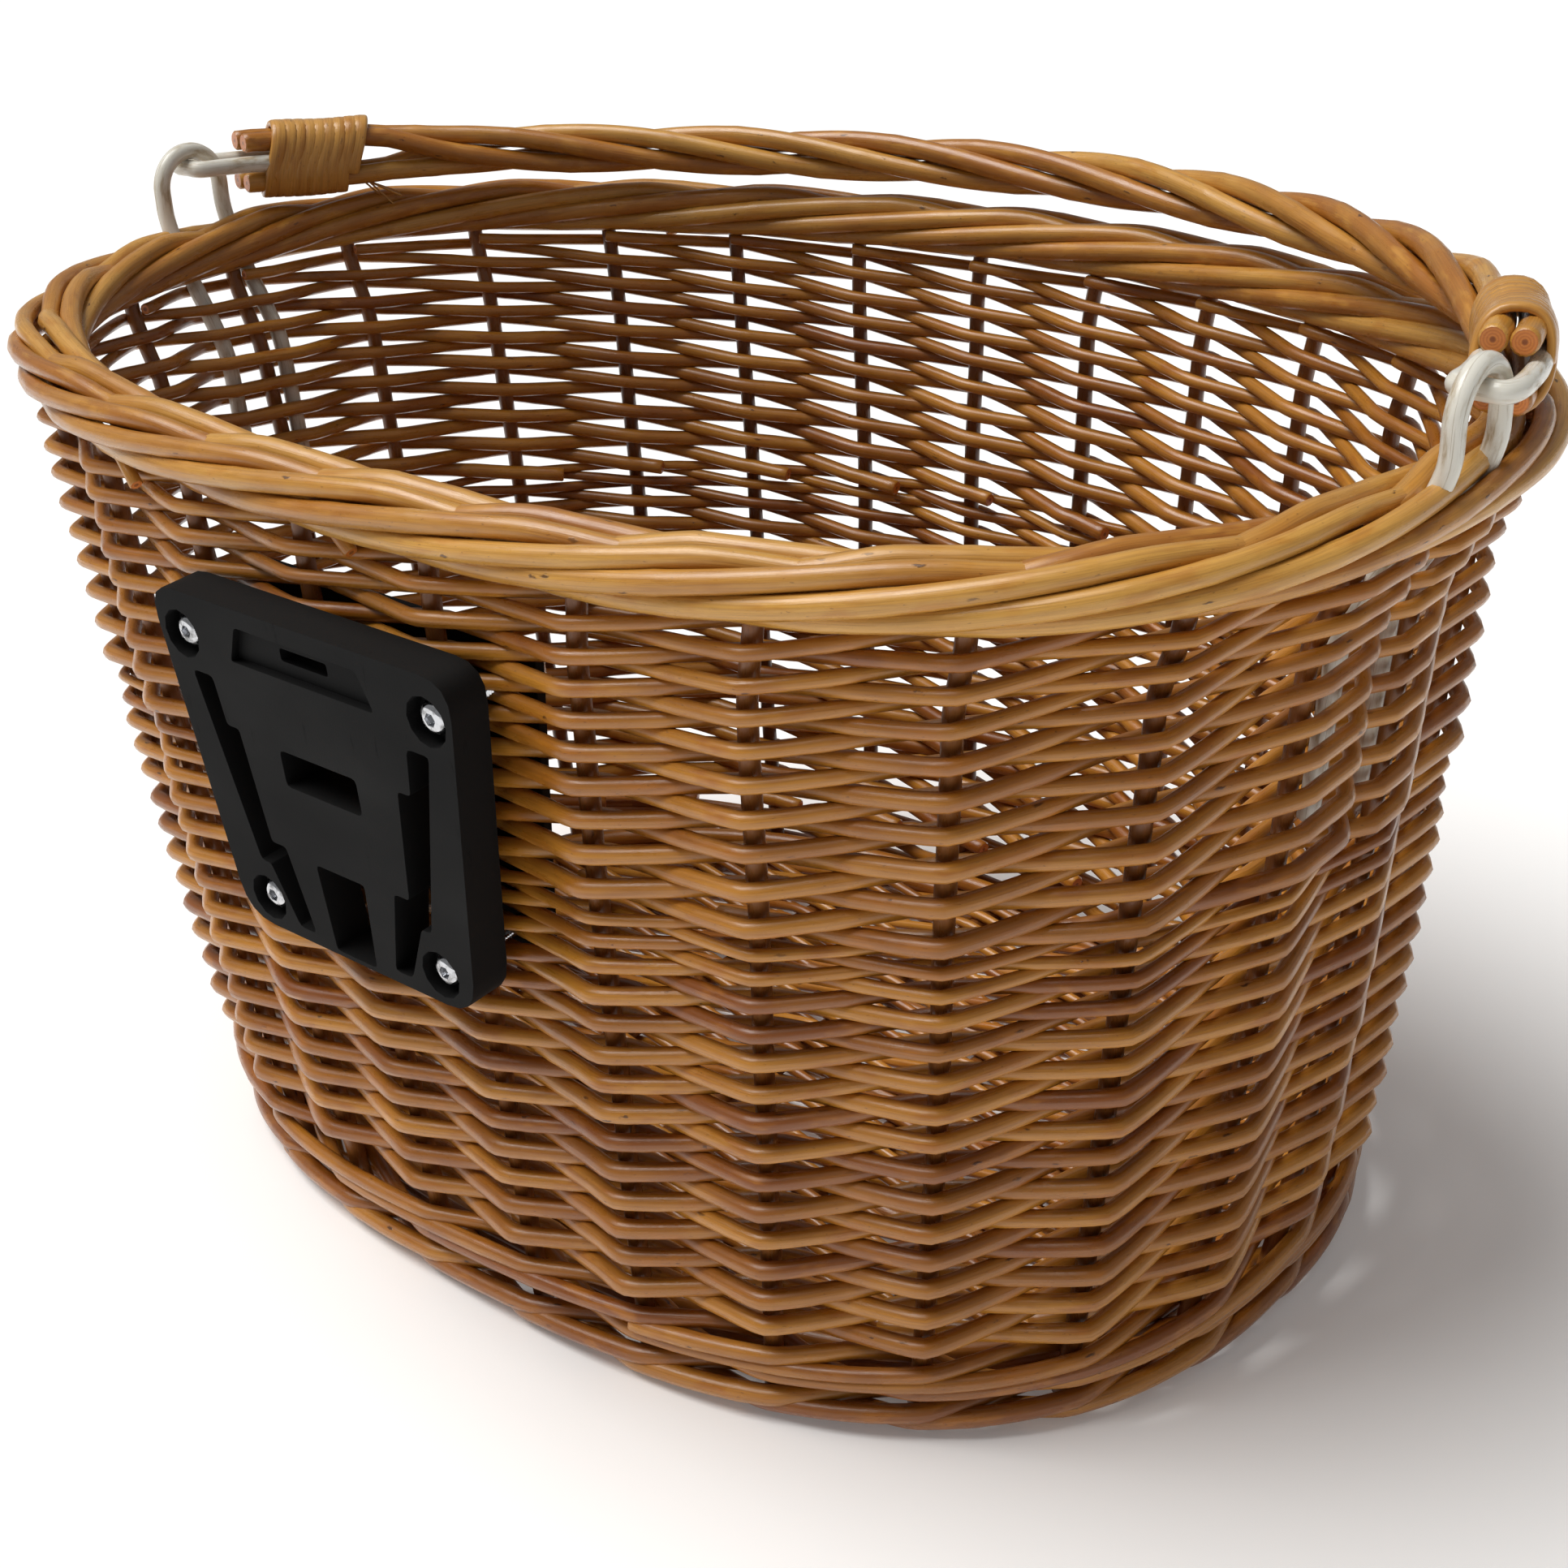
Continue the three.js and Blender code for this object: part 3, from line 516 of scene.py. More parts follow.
# Painted shade: the wall, foot and base rods take the border's willow in darker colours, standing for willow
# in shade, while the paler copy on the border and handle stands for willow in the key light.
SHADE_DARKENED_WILLOW = willow("wall_willow_painted_shade", linear(195, 132, 50), linear(173, 107, 36), linear(136, 75, 21))
BORDER_WILLOW = willow(
    "border_willow", linear(211, 157, 75), linear(197, 137, 57), linear(168, 105, 37))
STAKE_WILLOW = willow(
    "stake_willow", linear(150, 96, 50), linear(130, 78, 36), linear(100, 58, 26), coat=0.1)
SKEIN = willow(
    "skein_willow", linear(210, 154, 76), linear(190, 130, 56), linear(160, 100, 38), knot_amount=0.35)
WIRE = coated_wire()
PLASTIC = plastic()
STEEL = steel()


# ---- Hinge hoops: their legs go down inside the wall, and the weaving passes round them.
WIRE_DIAMETER = 5.2
hoop_low, hoop_high = box_mm("right_hinge_hoop")
hinge_x = hoop_high[0] - WIRE_DIAMETER / 2
hoop_radius = (hoop_high[1] - hoop_low[1] - WIRE_DIAMETER) / 2
HOOP_BEND = 226
HOOP_STRAIGHT_ABOVE = 5
HOOP_ARCH_POINTS = 25
# The legs stand this far inside the middle of the wall, and rods stay clear of them by a share of a gap.
LEG_INSET = 1.5
LEG_MARGIN = 0.06


def leg_stroke(side, direction):
    """The stroke at which a hoop leg stands in the wall."""
    strokes = np.linspace(0, STAKE_COUNT, 4000, endpoint=False)
    points = wall(strokes, HOOP_BEND)
    aside = np.abs(points[:, 1] - hinge[1] - direction * hoop_radius)
    return strokes[np.where(points[:, 0] * side > 0, aside, np.inf).argmin()]


def hoop_path(side):
    """Up inside the wall, out through the border, round in a half circle above it, and down again."""
    arc_level = hoop_high[2] - WIRE_DIAMETER / 2 - hoop_radius
    levels = np.arange(hoop_low[2], arc_level, 2.0)

    def leg(direction):
        in_wall = np.abs(wall(leg_stroke(side, direction), levels)[:, 0]) - LEG_INSET
        out = mix(in_wall, hinge_x, smoothstep(levels, HOOP_BEND, border_high[2] + HOOP_STRAIGHT_ABOVE))
        y = np.full(len(levels), hinge[1] + direction * hoop_radius)
        return np.stack([side * out, y, levels], -1)

    turn = np.linspace(0, math.pi, HOOP_ARCH_POINTS)
    arch = np.stack([np.full(HOOP_ARCH_POINTS, side * hinge_x), hinge[1] + hoop_radius * np.cos(turn),
                     arc_level + hoop_radius * np.sin(turn)], -1)
    return np.concatenate([leg(1), arch, leg(-1)[::-1]])


# How much of each gap between stakes a rod keeps its full offset for, after and before a stake.
hold_after, hold_before = np.zeros(STAKE_COUNT), np.zeros(STAKE_COUNT)
for leg_place in (leg_stroke(side, direction) for side in (1, -1) for direction in (1, -1)):
    gap = int(leg_place)
    part = leg_place - gap
    if part < 0.5:
        hold_after[gap] = max(hold_after[gap], part + LEG_MARGIN)
    else:
        hold_before[gap] = max(hold_before[gap], 1 - part + LEG_MARGIN)


# ---- Weaving.
PER_STROKE = 16
KINK = 0.985
STAKE_RADIUS = 2.7
PLATE_HALF_WIDTH = 56
PLATE_MARGIN = 12
EXTRA_BULGE = 0.14
# The tail of a rod, before the stake it starts at: its least and greatest length, its lean and its drop.
TAIL_LENGTH = (0.22, 0.42)
TAIL_INWARDS = 3.5
TAIL_DROP = 4


def sway(part):
    """From 1 at a stake to -1 at the next, nearly straight between them with a kink at each."""
    return np.arcsin(KINK * np.cos(np.pi * part)) / math.asin(KINK)


def over_and_under(stroke, first, held):
    """-1 inside a stake and 1 outside it, in turn, inside at the stake where the rod starts."""
    gap = np.floor(stroke).astype(int)
    part = stroke - gap
    if held:
        after, before = hold_after[gap % STAKE_COUNT], hold_before[gap % STAKE_COUNT]
        part = np.clip((part - after) / (1 - after - before), 0, 1)
    sign = np.where((gap - first) % 2 == 0, -1.0, 1.0)
    return sign * sway(part)


def clear_of_plate(stroke):
    """How much further rods bulge than they must: a little everywhere but behind the mounting plate."""
    place = wall(stroke, np.full(len(stroke), band_change))
    aside = smoothstep(np.abs(place[:, 0]), PLATE_HALF_WIDTH, PLATE_HALF_WIDTH + PLATE_MARGIN)
    return 1 + EXTRA_BULGE * np.where(place[:, 1] < centre_y, aside, 1)


def weave_band(mesh, bottom, top_of, strokes, rates, held):
    """One band of French rand: a rod starts at each stake, with a tail inside it, and climbs to the right.
    rates pairs strokes travelled with the rise for each stroke, which is the rod's diameter too."""
    travelled = np.arange(0, strokes * PER_STROKE + 1) / PER_STROKE
    rate = np.interp(travelled, *zip(*rates))
    climb = np.concatenate([[0], np.cumsum((rate[1:] + rate[:-1]) / 2)]) / PER_STROKE
    for first in range(STAKE_COUNT):
        rng = mesh.rng
        tail = np.arange(-round(rng.uniform(*TAIL_LENGTH) * PER_STROKE), 0) / PER_STROKE
        place = np.concatenate([tail, travelled])
        stroke = first + place
        radius = np.interp(place, travelled, rate) / 2 * rng.uniform(0.93, 1.03)
        radius = radius * (1 + wander(rng, place, 0.02, 1.7))
        offset = over_and_under(stroke, first, held) * (STAKE_RADIUS + radius) * rng.uniform(0.96, 1.03)
        offset = offset * clear_of_plate(stroke)
        offset = np.where(place < 0, -(STAKE_RADIUS + radius) + place * TAIL_INWARDS, offset)
        share_up = np.interp(place, travelled, climb / climb[-1])
        level = mix(bottom, top_of(stroke), share_up) + wander(rng, place, 0.28, 1.3)
        level = level + np.minimum(place, 0) * TAIL_DROP
        mesh.rod(woven(stroke, level, offset), radius)


# Each rod of a wale runs once round and this much further, and starts this many strokes after the last.
WALE_OVERRUN = 1.3
WALE_START_SPACING = 7


def wale(mesh, period, level, diameter, bulge):
    """Rods that pass outside all but one of every period stakes, each climbing over the others."""
    turns = STAKE_COUNT + WALE_OVERRUN
    for strand in range(period):
        rng = mesh.rng
        place = np.arange(0, turns * PER_STROKE + 1) / PER_STROKE
        stroke = strand * WALE_START_SPACING + place
        part = (stroke - strand) % period
        taper = 1 - 0.1 * smoothstep(place, 0, turns)
        radius = diameter / 2 * taper * (1 + wander(rng, place, 0.02, 2))
        outside = -sway(np.clip(part, 0, 1)) * (part < 1) + (part >= 1) * (part <= period - 1)
        outside = outside + sway(np.clip(part - (period - 1), 0, 1)) * (part > period - 1)
        swell = bulge * np.sin(np.pi * np.clip((part - 0.5) / (period - 1), 0, 1))
        height = mix(-1, 1, np.clip((part - 0.5) / (period - 1), 0, 1))
        back = (part - (period - 0.5)) % period
        height = np.where(back < 1, mix(1, -1, smoothstep(back, 0, 1)), height)
        tall = (period - 2) / 2 * diameter * 1.02
        mesh.rod(
            wall(stroke, level + height * tall + wander(rng, place, 0.2, 1.5),
                 outside * (STAKE_RADIUS + radius) + swell),
            radius,
        )


FOOT_ROD = 5.8
WALE_ROD = 4.9
FOOT_LIFT = 0.6
WALE_GAP = 0.2
FOOT_RING_INSET = 11.2
FOOT_RING_LEVELS = (4.0, 9.5, 15.0)
FOOT_RING_OVERLAP = 0.6
foot_mesh = RodMesh(11)
wale(foot_mesh, 3, FOOT_ROD + FOOT_LIFT, FOOT_ROD, 1.2)
wale(foot_mesh, 4, 2 * FOOT_ROD + 1.5 * WALE_ROD + WALE_GAP, WALE_ROD, 0.9)
# Rods that run round inside the foot and cover the ends of the base's weaving.
for ring_level in FOOT_RING_LEVELS:
    ring = np.arange(0, STAKE_COUNT + FOOT_RING_OVERLAP, 1 / PER_STROKE)
    ring_height = ring_level + wander(foot_mesh.rng, ring, 0.3, 1.5)
    foot_mesh.rod(wall(ring + ring_level, ring_height, -FOOT_RING_INSET), FOOT_ROD / 2)
foot_mesh.build("foot_wale_rods", SHADE_DARKENED_WILLOW, "basket", "willow", "foot_wale")

# For each band: the gap below its lowest rods, how far a rod travels, and its rates.
LOWER_GAP = 2.2
LOWER_STROKES = 28
LOWER_RATES = [(0, 5.4), (21, 4.6), (28, 2.9)]
UPPER_GAP = 0.5
UPPER_STROKES = 18
UPPER_RATES = [(0, 5.0), (9, 4.3), (18, 3.7)]
lower_start = 2 * FOOT_ROD + 3 * WALE_ROD + LOWER_GAP
lower_mesh = RodMesh(12)
weave_band(lower_mesh, lower_start, lambda stroke: band_change, LOWER_STROKES, LOWER_RATES, False)
lower_mesh.build("lower_weave_rods", SHADE_DARKENED_WILLOW, "basket", "willow", "lower_weave")

upper_mesh = RodMesh(13)
weave_band(upper_mesh, band_change + UPPER_GAP, band_top, UPPER_STROKES, UPPER_RATES, True)
upper_mesh.build("upper_weave_rods", SHADE_DARKENED_WILLOW, "basket", "willow", "upper_weave")

STAKE_TOP_DROP = 3
STAKE_TIP_RADIUS = 2.4
STAKE_STEP = 4.0
for index in range(STAKE_COUNT):
    name = f"stake_{index + 1:02d}"
    stake = RodMesh(100 + index)
    stake_top = border(index)[2] - STAKE_TOP_DROP
    levels = np.arange(box_mm(name)[0][2], stake_top, STAKE_STEP)
    along = index + wander(stake.rng, levels, 0.008, 50)
    share = np.asarray(start_share + index / STAKE_COUNT)
    reference = np.append(read_outline(border_normals, share), 0.0)
    radius = mix(STAKE_RADIUS, STAKE_TIP_RADIUS, levels / stake_top)
    stake.rod(wall(along, levels), radius, reference=reference)
    stake.build(name + "_willow", STAKE_WILLOW, "basket", "stake_willow", name)


# ---- Rolled border: each rod rises from a stake, passes inside and under, and climbs outside to the top.
BORDER_ROD = 6.0
BORDER_TRAVEL = 7.4
BORDER_STEPS = 14
BORDER_START_ANGLE = 80
BORDER_END_ANGLE = 455
STUB_SHARE = 0.3
STUB_RADIUS = (1.7, 2.2)
STUB_STEEPNESS = (20, 34)
border_mesh = RodMesh(14)
for first in range(STAKE_COUNT):
    rng = border_mesh.rng
    place = np.arange(0, BORDER_TRAVEL, 1 / BORDER_STEPS)
    turn = place / place[-1]
    angle = np.radians(mix(BORDER_START_ANGLE, BORDER_END_ANGLE, turn) + wander(rng, place, 3.0, 1.5))
    radius = BORDER_ROD / 2 * mix(1.04, 0.88, turn) * rng.uniform(0.95, 1.05)
    out = mix(0.3, 1, smoothstep(turn, 0, 0.1)) * mix(1, 0.5, smoothstep(turn, 0.9, 1))
    wide = (BORDER_HALF_WIDTH - BORDER_ROD / 2) * out * rng.uniform(0.97, 1.04)
    tall = (BORDER_HALF_HEIGHT - BORDER_ROD / 2 + 0.4) * out * rng.uniform(0.97, 1.04)
    border_mesh.rod(border(first + place, wide * np.cos(angle), tall * np.sin(angle)), radius)
    # Some rods leave a short cut stub that points down outside the border.
    if rng.random() < STUB_SHARE:
        reach = np.linspace(-0.2, rng.uniform(0.1, 0.2), 6)
        drop = -BORDER_HALF_HEIGHT * 0.7 - np.maximum(reach, 0) * rng.uniform(*STUB_STEEPNESS)
        stub = border(first + 0.4 + reach, BORDER_HALF_WIDTH * 0.4 + reach * 5, drop)
        border_mesh.rod(stub, rng.uniform(*STUB_RADIUS))
border_mesh.build("border_rods", BORDER_WILLOW, "basket", "border_willow", "top_border")


# ---- Base: rods woven over and under the cross sticks, with long sticks threaded through.
base_low, base_high = box_mm("base_weave")
base_middle = (base_low[2] + base_high[2]) / 2
CROSS_STICK_SPACING = 52
CROSS_STICK_RADIUS = 3.6
BASE_ROD = 3.3
BASE_ROW_SPACING = BASE_ROD * 1.12
BASE_INSET = 10
BASE_FRONT_MARGIN = 4
BASE_BACK_MARGIN = 3
SHORTEST_BASE_ROW = 30
STICK_POINTS = 60


def base_half_width(y):
    """How far the base reaches along X at a distance towards the back."""
    outline = wall_outlines[0] + wall_normals[0] * -BASE_INSET
    half = outline[:OUTLINE_STEPS // 2] if y > centre_y else outline[OUTLINE_STEPS // 2:]
    order = half[:, 1].argsort()
    right = half[order][half[order][:, 0] > 0]
    return float(np.interp(y, right[:, 1], right[:, 0]))


base_mesh = RodMesh(15)
base_rows = np.arange(
    base_low[1] + BASE_FRONT_MARGIN, base_high[1] - BASE_BACK_MARGIN, BASE_ROW_SPACING)
for row, y in enumerate(base_rows):
    half = base_half_width(y)
    if half < SHORTEST_BASE_ROW:
        continue
    x = np.arange(-half, half, 4.0)
    phase = np.cos(np.pi * x / CROSS_STICK_SPACING) * (1 if row % 2 else -1)
    lift = np.arcsin(KINK * phase) / math.asin(KINK) * (CROSS_STICK_RADIUS + BASE_ROD / 2)
    sideways = y + wander(base_mesh.rng, x, 0.25, 40)
    base_mesh.rod(np.stack([x, sideways, base_middle + lift], -1), BASE_ROD / 2, sides=8)
base_mesh.build("base_weave_rods", SHADE_DARKENED_WILLOW, "basket", "willow", "base_weave")

for name in sorted(frame["nodes"]):
    if name.startswith("base_") and "stick" in name:
        low, high = box_mm(name)
        middle = (low + high) / 2
        lengthways = name.startswith("base_long")
        stick = RodMesh(200 + len(name) * 10 + int(name[-1]))
        place = np.linspace(low[0 if lengthways else 1], high[0 if lengthways else 1], STICK_POINTS)
        bend = wander(stick.rng, place, 0.2, 60)
        if lengthways:
            path = np.stack([place, middle[1] + bend, np.full(STICK_POINTS, middle[2])], -1)
            stick.rod(path, (high[2] - low[2]) / 2)
        else:
            path = np.stack([middle[0] + bend, place, np.full(STICK_POINTS, middle[2])], -1)
            stick.rod(path, CROSS_STICK_RADIUS)
        stick.build(name + "_willow", STAKE_WILLOW, "basket", "stake_willow", name)


# ---- Handle: its centre line is a bow in a plane that droops a little behind the hinge. The rods' cut ends
# and the bindings start about a millimetre from where they do in the CAD source.
BOW_REACH = 171.2
BOW_SIDE_SQUARENESS = 1.87
BOW_REACH_SQUARENESS = 1.65
BOW_DROOP = math.radians(3.4)
HANDLE_ROD = 6.0
HANDLE_ROD_GAP = 0.8
HANDLE_ROD_START = 19
HANDLE_TWIST_TURNS = -2.5
BINDING_START = 21.6
BINDING_LENGTH = 42.0
STAPLE_WIDTH = 12.4
STAPLE_LENGTH = 44.0
STAPLE_END_INSET = 1.6
STRAND_POINTS = 300
# The top and bottom rods spread apart for the staple. They close up again from this far before the inner
# end of the binding to this far past it, and the twist begins this far past it.
PINCH_BEFORE = 12
PINCH_AFTER = 28
TWIST_GAP = 4
bow_normal = np.array([0, math.sin(BOW_DROOP), math.cos(BOW_DROOP)])

turns = np.linspace(0, np.pi, 4001)
bow_out = BOW_REACH * np.abs(np.sin(turns)) ** (2 / BOW_REACH_SQUARENESS)
bow_points = np.stack([
    hinge_x * np.sign(np.cos(turns)) * np.abs(np.cos(turns)) ** (2 / BOW_SIDE_SQUARENESS),
    hinge[1] + bow_out * math.cos(BOW_DROOP),
    hinge[2] - bow_out * math.sin(BOW_DROOP),
], -1)
bow_distance = np.concatenate([[0], np.cumsum(np.linalg.norm(np.diff(bow_points, axis=0), axis=1))])
bow_length = bow_distance[-1]


def bow_at(distance):
    """Points on the bow at distances along it from the right hinge."""
    return np.stack([np.interp(distance, bow_distance, bow_points[:, i]) for i in range(3)], -1)


def beside_bow(distance, sideways, upwards):
    """Points beside the bow at distances along it from the right hinge, with its across direction."""
    distance, sideways, upwards = np.broadcast_arrays(
        *[np.asarray(v, float) for v in (distance, sideways, upwards)])
    ahead = np.clip(distance + 1.5, 0, bow_length)
    behind = np.clip(distance - 1.5, 0, bow_length)
    across = unit(np.cross(bow_at(ahead) - bow_at(behind), bow_normal))
    return bow_at(distance) + across * sideways[..., None] + bow_normal * upwards[..., None], across


strand_offset = (HANDLE_ROD + HANDLE_ROD_GAP) / 2
pinch = (WIRE_DIAMETER + 0.7) / 2
binding_end = BINDING_START + BINDING_LENGTH
for number, (side_sign, up_sign) in enumerate(((1, 1), (-1, 1), (-1, -1), (1, -1)), 1):
    strand = RodMesh(300 + number)
    rng = strand.rng
    distance = np.linspace(HANDLE_ROD_START, bow_length - HANDLE_ROD_START, STRAND_POINTS)
    from_end = np.minimum(distance, bow_length - distance)
    spread = pinch * (1 - smoothstep(from_end, binding_end - PINCH_BEFORE, binding_end + PINCH_AFTER))
    twist_start = binding_end + TWIST_GAP
    part = np.clip((distance - twist_start) / (bow_length - 2 * twist_start), 0, 1)
    angle = 2 * np.pi * HANDLE_TWIST_TURNS * part + wander(rng, distance, 0.05, 60)
    sideways, upwards = side_sign * strand_offset, up_sign * (strand_offset + spread)
    path = beside_bow(
        distance,
        sideways * np.cos(angle) - upwards * np.sin(angle),
        sideways * np.sin(angle) + upwards * np.cos(angle),
    )[0]
    radius = HANDLE_ROD / 2 * 1.06 * mix(1.03, 0.95, distance / bow_length)
    strand.rod(path, radius, reference=bow_normal, sides=14)
    name = f"handle_rod_{number}"
    strand.build(name + "_willow", BORDER_WILLOW, "handle", "border_willow", name)

SKEIN_WIDTH = 4.9
SKEIN_THICKNESS = 2.2
BINDING_TURNS = 8.6
BINDING_SLANT = 3.8
BINDING_SQUARENESS = 2.5
FIBRES = 5
FIBRE_RADIUS = 0.35


def binding_path(from_left, turn, lift):
    """The skein's path over the bundle of rods, at a number of turns from its outer end."""
    angle = 2 * np.pi * turn
    half_side = strand_offset + HANDLE_ROD / 2 + lift
    half_up = strand_offset + pinch + HANDLE_ROD / 2 + lift
    power = BINDING_SQUARENESS
    sideways, upwards = np.abs(np.cos(angle) / half_side), np.abs(np.sin(angle) / half_up)
    radius = (sideways ** power + upwards ** power) ** (-1 / power)
    travel = BINDING_LENGTH - SKEIN_WIDTH - 2 * BINDING_SLANT
    along = BINDING_START + SKEIN_WIDTH / 2 + BINDING_SLANT + travel * turn / BINDING_TURNS
    along = along + BINDING_SLANT * np.sin(angle + 0.6)
    path, across = beside_bow(
        bow_length - along if from_left else along, radius * np.cos(angle), radius * np.sin(angle))
    outwards = across * np.cos(angle)[:, None] + bow_normal * np.sin(angle)[:, None]
    return path, outwards


def staple_path(from_left):
    """Out of the handle's end along one leg, across the hinge line, and back along the other leg."""
    legs = np.array([STAPLE_LENGTH, 0.75 * STAPLE_LENGTH, 0.5 * STAPLE_LENGTH, 0.25 * STAPLE_LENGTH, 3.4])
    distance = bow_length - legs if from_left else legs
    outer = beside_bow(distance, STAPLE_WIDTH / 2, 0)[0]
    inner = beside_bow(distance, -STAPLE_WIDTH / 2, 0)[0][::-1]
    middle = np.array([-hinge_x if from_left else hinge_x, hinge[1], hinge[2]])
    half = STAPLE_WIDTH / 2 - STAPLE_END_INSET
    bar = [middle + (s * half, 0, 0) for s in (1, 0, -1)]
    if outer[-1][0] < inner[0][0]:
        bar = bar[::-1]
    return smooth_path([*outer, *bar, *inner], 10)


for side, from_left in (("right", False), ("left", True)):
    hoop = RodMesh(20 + from_left)
    path = hoop_path(-1 if from_left else 1)
    hoop.rod(path, WIRE_DIAMETER / 2, reference=(1, 0, 0), sides=16, cut=0.0, knots=0.0)
    hoop.build(f"{side}_hoop_wire", WIRE, "basket", "coated_wire", f"{side}_hinge_hoop")

    staple = RodMesh(30 + from_left)
    path = staple_path(from_left)
    staple.rod(path, WIRE_DIAMETER / 2, reference=bow_normal, sides=16, cut=0.0, knots=0.0)
    staple.build(f"{side}_staple_wire", WIRE, "handle", "coated_wire", f"{side}_handle_staple")

    binding = RodMesh(40 + from_left)
    turn = np.arange(0, BINDING_TURNS, 1 / 36)
    lift = SKEIN_THICKNESS * 0.75 + 0.25 * np.sin(7 * turn)
    path, outwards = binding_path(from_left, turn, lift)
    half_width = SKEIN_WIDTH / 2 * 0.99
    binding.rod(path, half_width, reference=outwards, sides=12, thickness=SKEIN_THICKNESS, cut=0.0)
    # Loose fibres hang from the inner end of the binding.
    tail = np.linspace(0, 1, 12)
    for strip in range(FIBRES):
        rng = binding.rng
        start = binding_end - 1.5 - rng.uniform(0, 3)
        along = start + tail * rng.uniform(4, 10)
        drop = -strand_offset - pinch - 3 - tail * rng.uniform(3, 9)
        aside = -3 + strip * 1.1 + tail * rng.uniform(-4, 4)
        fibre_path = beside_bow(bow_length - along if from_left else along, aside, drop)[0]
        binding.rod(fibre_path, FIBRE_RADIUS, sides=6, tone=0.9, cut=0.0, knots=0.0)
    binding.build(f"{side}_binding_skein", SKEIN, "handle", "skein", f"{side}_handle_binding")


# ---- Plate, backing plate, screws and nuts: bevelled copies of the CAD nodes.
def bevelled_copy(node, material, slot_name, width, segments=3):
    """A copy of a CAD node with its facets joined into flats and its edges rounded to a width in mm."""
    source = frame["nodes"][node]
    mesh = source.data.copy()
    piece = add_piece(node + "_finish", mesh, material, "basket", slot_name, node)
    weld = piece.modifiers.new("weld", "WELD")
    weld.merge_threshold = 0.01 * MM
    flat = piece.modifiers.new("flat", "DECIMATE")
    flat.decimate_type = "DISSOLVE"
    flat.angle_limit = math.radians(1.5)
    edge = piece.modifiers.new("edge", "BEVEL")
    edge.width = width * MM
    edge.segments = segments
    edge.limit_method = "ANGLE"
    edge.angle_limit = math.radians(35)
    edge.harden_normals = True
    flats = piece.modifiers.new("flats", "WEIGHTED_NORMAL")
    flats.weight = 100
    flats.keep_sharp = True
    mesh.shade_smooth()
    return piece


bevelled_copy("mounting_plate", PLASTIC, "black_plastic", 0.7)
bevelled_copy("backing_plate", PLASTIC, "black_plastic", 0.5)
for number in range(1, 5):
    bevelled_copy(f"plate_nut_{number}", STEEL, "steel", 0.25, 2)


# A screw: a domed head with a hexagonal socket, and a threaded shank.
HEAD_RADIUS = 4.4
HEAD_HEIGHT = 3.0
SHANK_RADIUS = 1.95
SOCKET_HALF_WIDTH = 1.5
SOCKET_DEPTH = 1.4
THREAD_PITCH = 0.7
SCREW_SIDES = 48
# The head's rim stands this high before its dome begins, and the socket has an edge this wide.
HEAD_RIM = 0.35
SOCKET_EDGE = 0.12
THREAD_DEPTH = 0.28


def screw_profile(length):
    """Radius and height of each ring from the socket's floor out over the head and down the shank.
    A true third value makes a ring hexagonal."""
    floor = HEAD_HEIGHT - SOCKET_DEPTH
    profile = [
        (0.05, floor, True),
        (SOCKET_HALF_WIDTH, floor, True),
        (SOCKET_HALF_WIDTH, HEAD_HEIGHT - SOCKET_EDGE, True),
        (SOCKET_HALF_WIDTH + SOCKET_EDGE, HEAD_HEIGHT, True),
    ]
    dome_start = SOCKET_HALF_WIDTH + 0.55
    for angle in np.linspace(0, math.pi / 2, 9):
        radius = dome_start + (HEAD_RADIUS - dome_start) * math.sin(angle)
        profile.append((radius, HEAD_RIM + (HEAD_HEIGHT - HEAD_RIM) * math.cos(angle), False))
    profile += [(HEAD_RADIUS, 0.08, False), (HEAD_RADIUS - 0.1, 0.0, False), (SHANK_RADIUS, 0.0, False)]
    for place in np.arange(1, length - HEAD_HEIGHT - 0.6, THREAD_PITCH / 2):
        root = len(profile) % 2
        profile.append((SHANK_RADIUS - THREAD_DEPTH * root, -place, False))
    profile += [(SHANK_RADIUS - 0.5, HEAD_HEIGHT - length, False), (0.05, HEAD_HEIGHT - length, False)]
    return profile


def screw(node):
    """A turned screw in the place, on the axis and of the length of its CAD node."""
    source = frame["nodes"][node]
    points = np.array([tuple(source.matrix_world @ v.co) for v in source.data.vertices]) / MM
    middle = points.mean(axis=0)
    axis = np.linalg.svd(points - middle)[2][0]
    axis = axis * -np.sign(axis[1])
    along = (points - middle) @ axis
    top = middle + axis * along.max()
    across = unit(np.cross(axis, (0, 0, 1)))
    over = np.cross(axis, across)
    angle = 2 * np.pi * np.arange(SCREW_SIDES) / SCREW_SIDES
    flats = 1 / np.cos((angle % (math.pi / 3)) - math.pi / 6)
    rings = []
    for radius, height, hexagonal in screw_profile(np.ptp(along)):
        reach = radius * (flats if hexagonal else np.ones(SCREW_SIDES))
        centre = top + axis * (height - HEAD_HEIGHT)
        sideways, upwards = reach * np.cos(angle), reach * np.sin(angle)
        rings.append(centre + across * sideways[:, None] + over * upwards[:, None])
    i = np.arange(len(rings) - 1)[:, None] * SCREW_SIDES
    j = np.arange(SCREW_SIDES)[None]
    k = (j + 1) % SCREW_SIDES
    quads = np.stack([i + j, i + k, i + SCREW_SIDES + k, i + SCREW_SIDES + j], -1).reshape(-1, 4)
    last = (len(rings) - 1) * SCREW_SIDES
    ends = [list(range(SCREW_SIDES))[::-1], list(range(last, last + SCREW_SIDES))]
    mesh = bpy.data.meshes.new(node + "_turned")
    mesh.from_pydata((np.concatenate(rings) * MM).tolist(), [], quads.tolist() + ends)
    mesh.validate()
    mesh.shade_smooth()
    mesh.set_sharp_from_angle(angle=math.radians(40))
    add_piece(node + "_turned", mesh, STEEL, "basket", "steel", node)


for number in range(1, 5):
    screw(f"plate_screw_{number}")


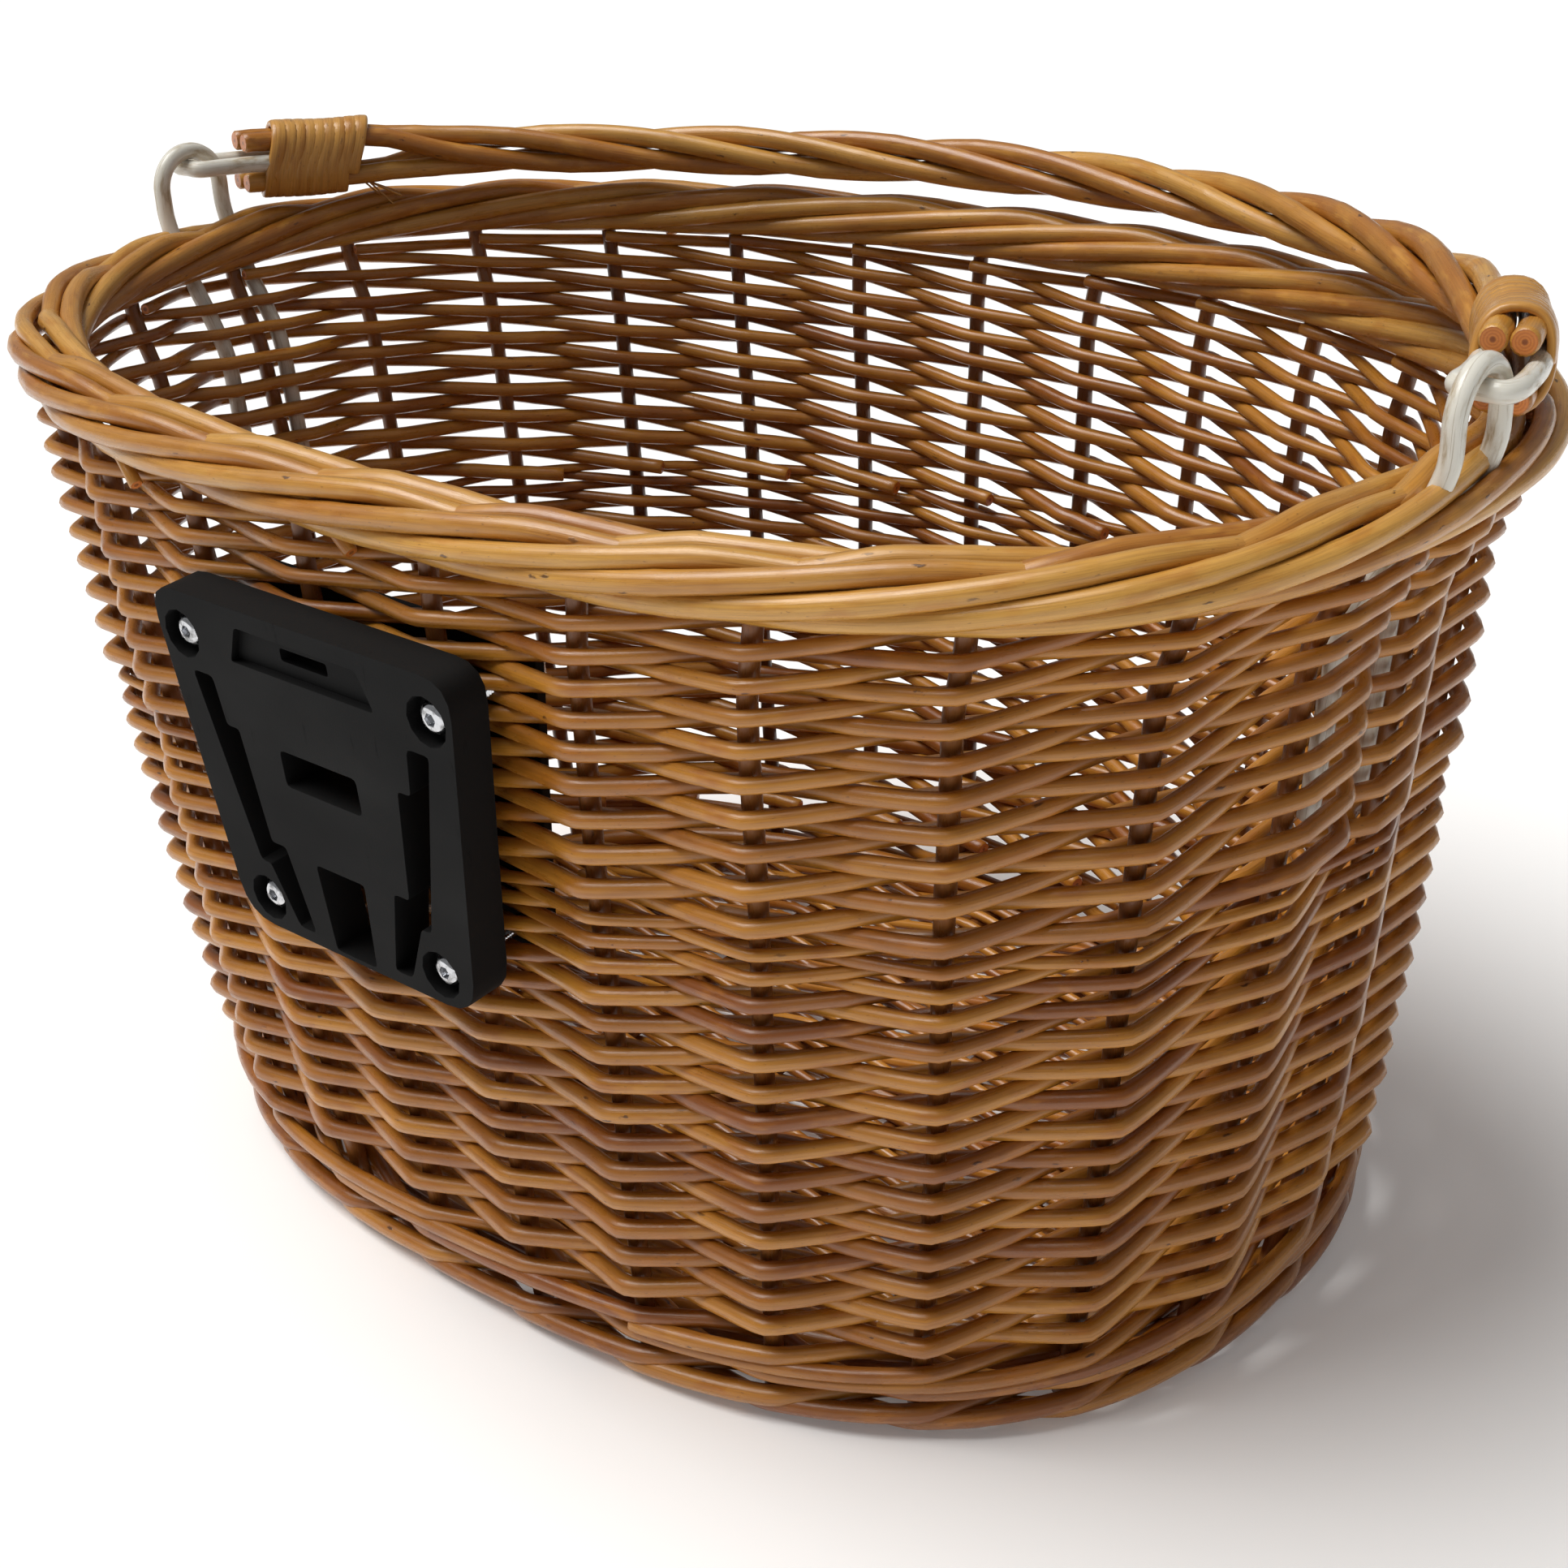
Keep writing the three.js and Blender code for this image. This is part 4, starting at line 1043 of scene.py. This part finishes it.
# ---- Studio: pale floor, a soft key light from above and the left, and the camera fitted to the photograph.
PHOTO_ANGLES = (41.27, 26.26, -2.38)
CAMERA_PLACE = (416.4, -471.2, 414.3)
CAMERA_LENS = 53.70
WORLD_STRENGTH = 0.22
KEY_STRENGTH = 3.1
KEY_SPREAD_DEGREES = 44
FLOOR_GLOW = 0.1
KEY_DIRECTION = (-0.34, -0.24, 0.91)


def studio():
    bpy.ops.mesh.primitive_plane_add(size=12, location=(0, 0, 0))
    floor = bpy.context.object
    floor.name = "studio_floor"
    pale = Nodes("pale_floor")
    mottle = pale.noise(pale.add("ShaderNodeTexCoord").outputs["Object"], scale=3.0, detail=2.0)
    pale.link(pale.blend(mottle, linear(240, 240, 240), linear(246, 246, 246)), "Base Color")
    pale.set(Roughness=0.9, Specular_IOR_Level=0.1)
    pale.set(Emission_Color=(1, 1, 1, 1), Emission_Strength=FLOOR_GLOW)
    floor.data.materials.append(pale.material)
    floor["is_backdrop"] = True

    world = bpy.data.worlds.new("studio")
    bpy.context.scene.world = world
    world.use_nodes = True
    world.node_tree.nodes["Background"].inputs[0].default_value = (1.0, 1.0, 1.0, 1.0)
    world.node_tree.nodes["Background"].inputs[1].default_value = WORLD_STRENGTH

    sun = bpy.data.lights.new("soft_key", "SUN")
    sun.energy = KEY_STRENGTH
    sun.angle = math.radians(KEY_SPREAD_DEGREES)
    sun.color = (1.0, 0.985, 0.96)
    lamp = bpy.data.objects.new("soft_key", sun)
    bpy.context.scene.collection.objects.link(lamp)
    lamp.rotation_mode = "QUATERNION"
    lamp.rotation_quaternion = Vector(KEY_DIRECTION).to_track_quat("Z", "Y")


def camera():
    """Looks down from the front right at the photograph's azimuth, elevation and roll. Its place is taken
    from the middle of the basket, on the floor."""
    azimuth, elevation, roll = (math.radians(a) for a in PHOTO_ANGLES)
    forward = Vector((-math.sin(azimuth) * math.cos(elevation), math.cos(azimuth) * math.cos(elevation),
                      -math.sin(elevation)))
    level = Vector((math.cos(azimuth), math.sin(azimuth), 0))
    right = level * math.cos(roll) + level.cross(forward) * math.sin(roll)
    up = right.cross(forward)
    lens = bpy.data.cameras.new("photo_camera")
    lens.lens = CAMERA_LENS
    lens.sensor_width = 36
    view = bpy.data.objects.new("photo_camera", lens)
    bpy.context.scene.collection.objects.link(view)
    place = Vector((CAMERA_PLACE[0], centre_y + CAMERA_PLACE[1], CAMERA_PLACE[2])) * MM
    view.matrix_world = Matrix.Translation(place) @ Matrix((right, up, -forward)).transposed().to_4x4()
    bpy.context.scene.camera = view


studio()
camera()
bpy.context.scene.view_settings.view_transform = "Standard"

low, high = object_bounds()
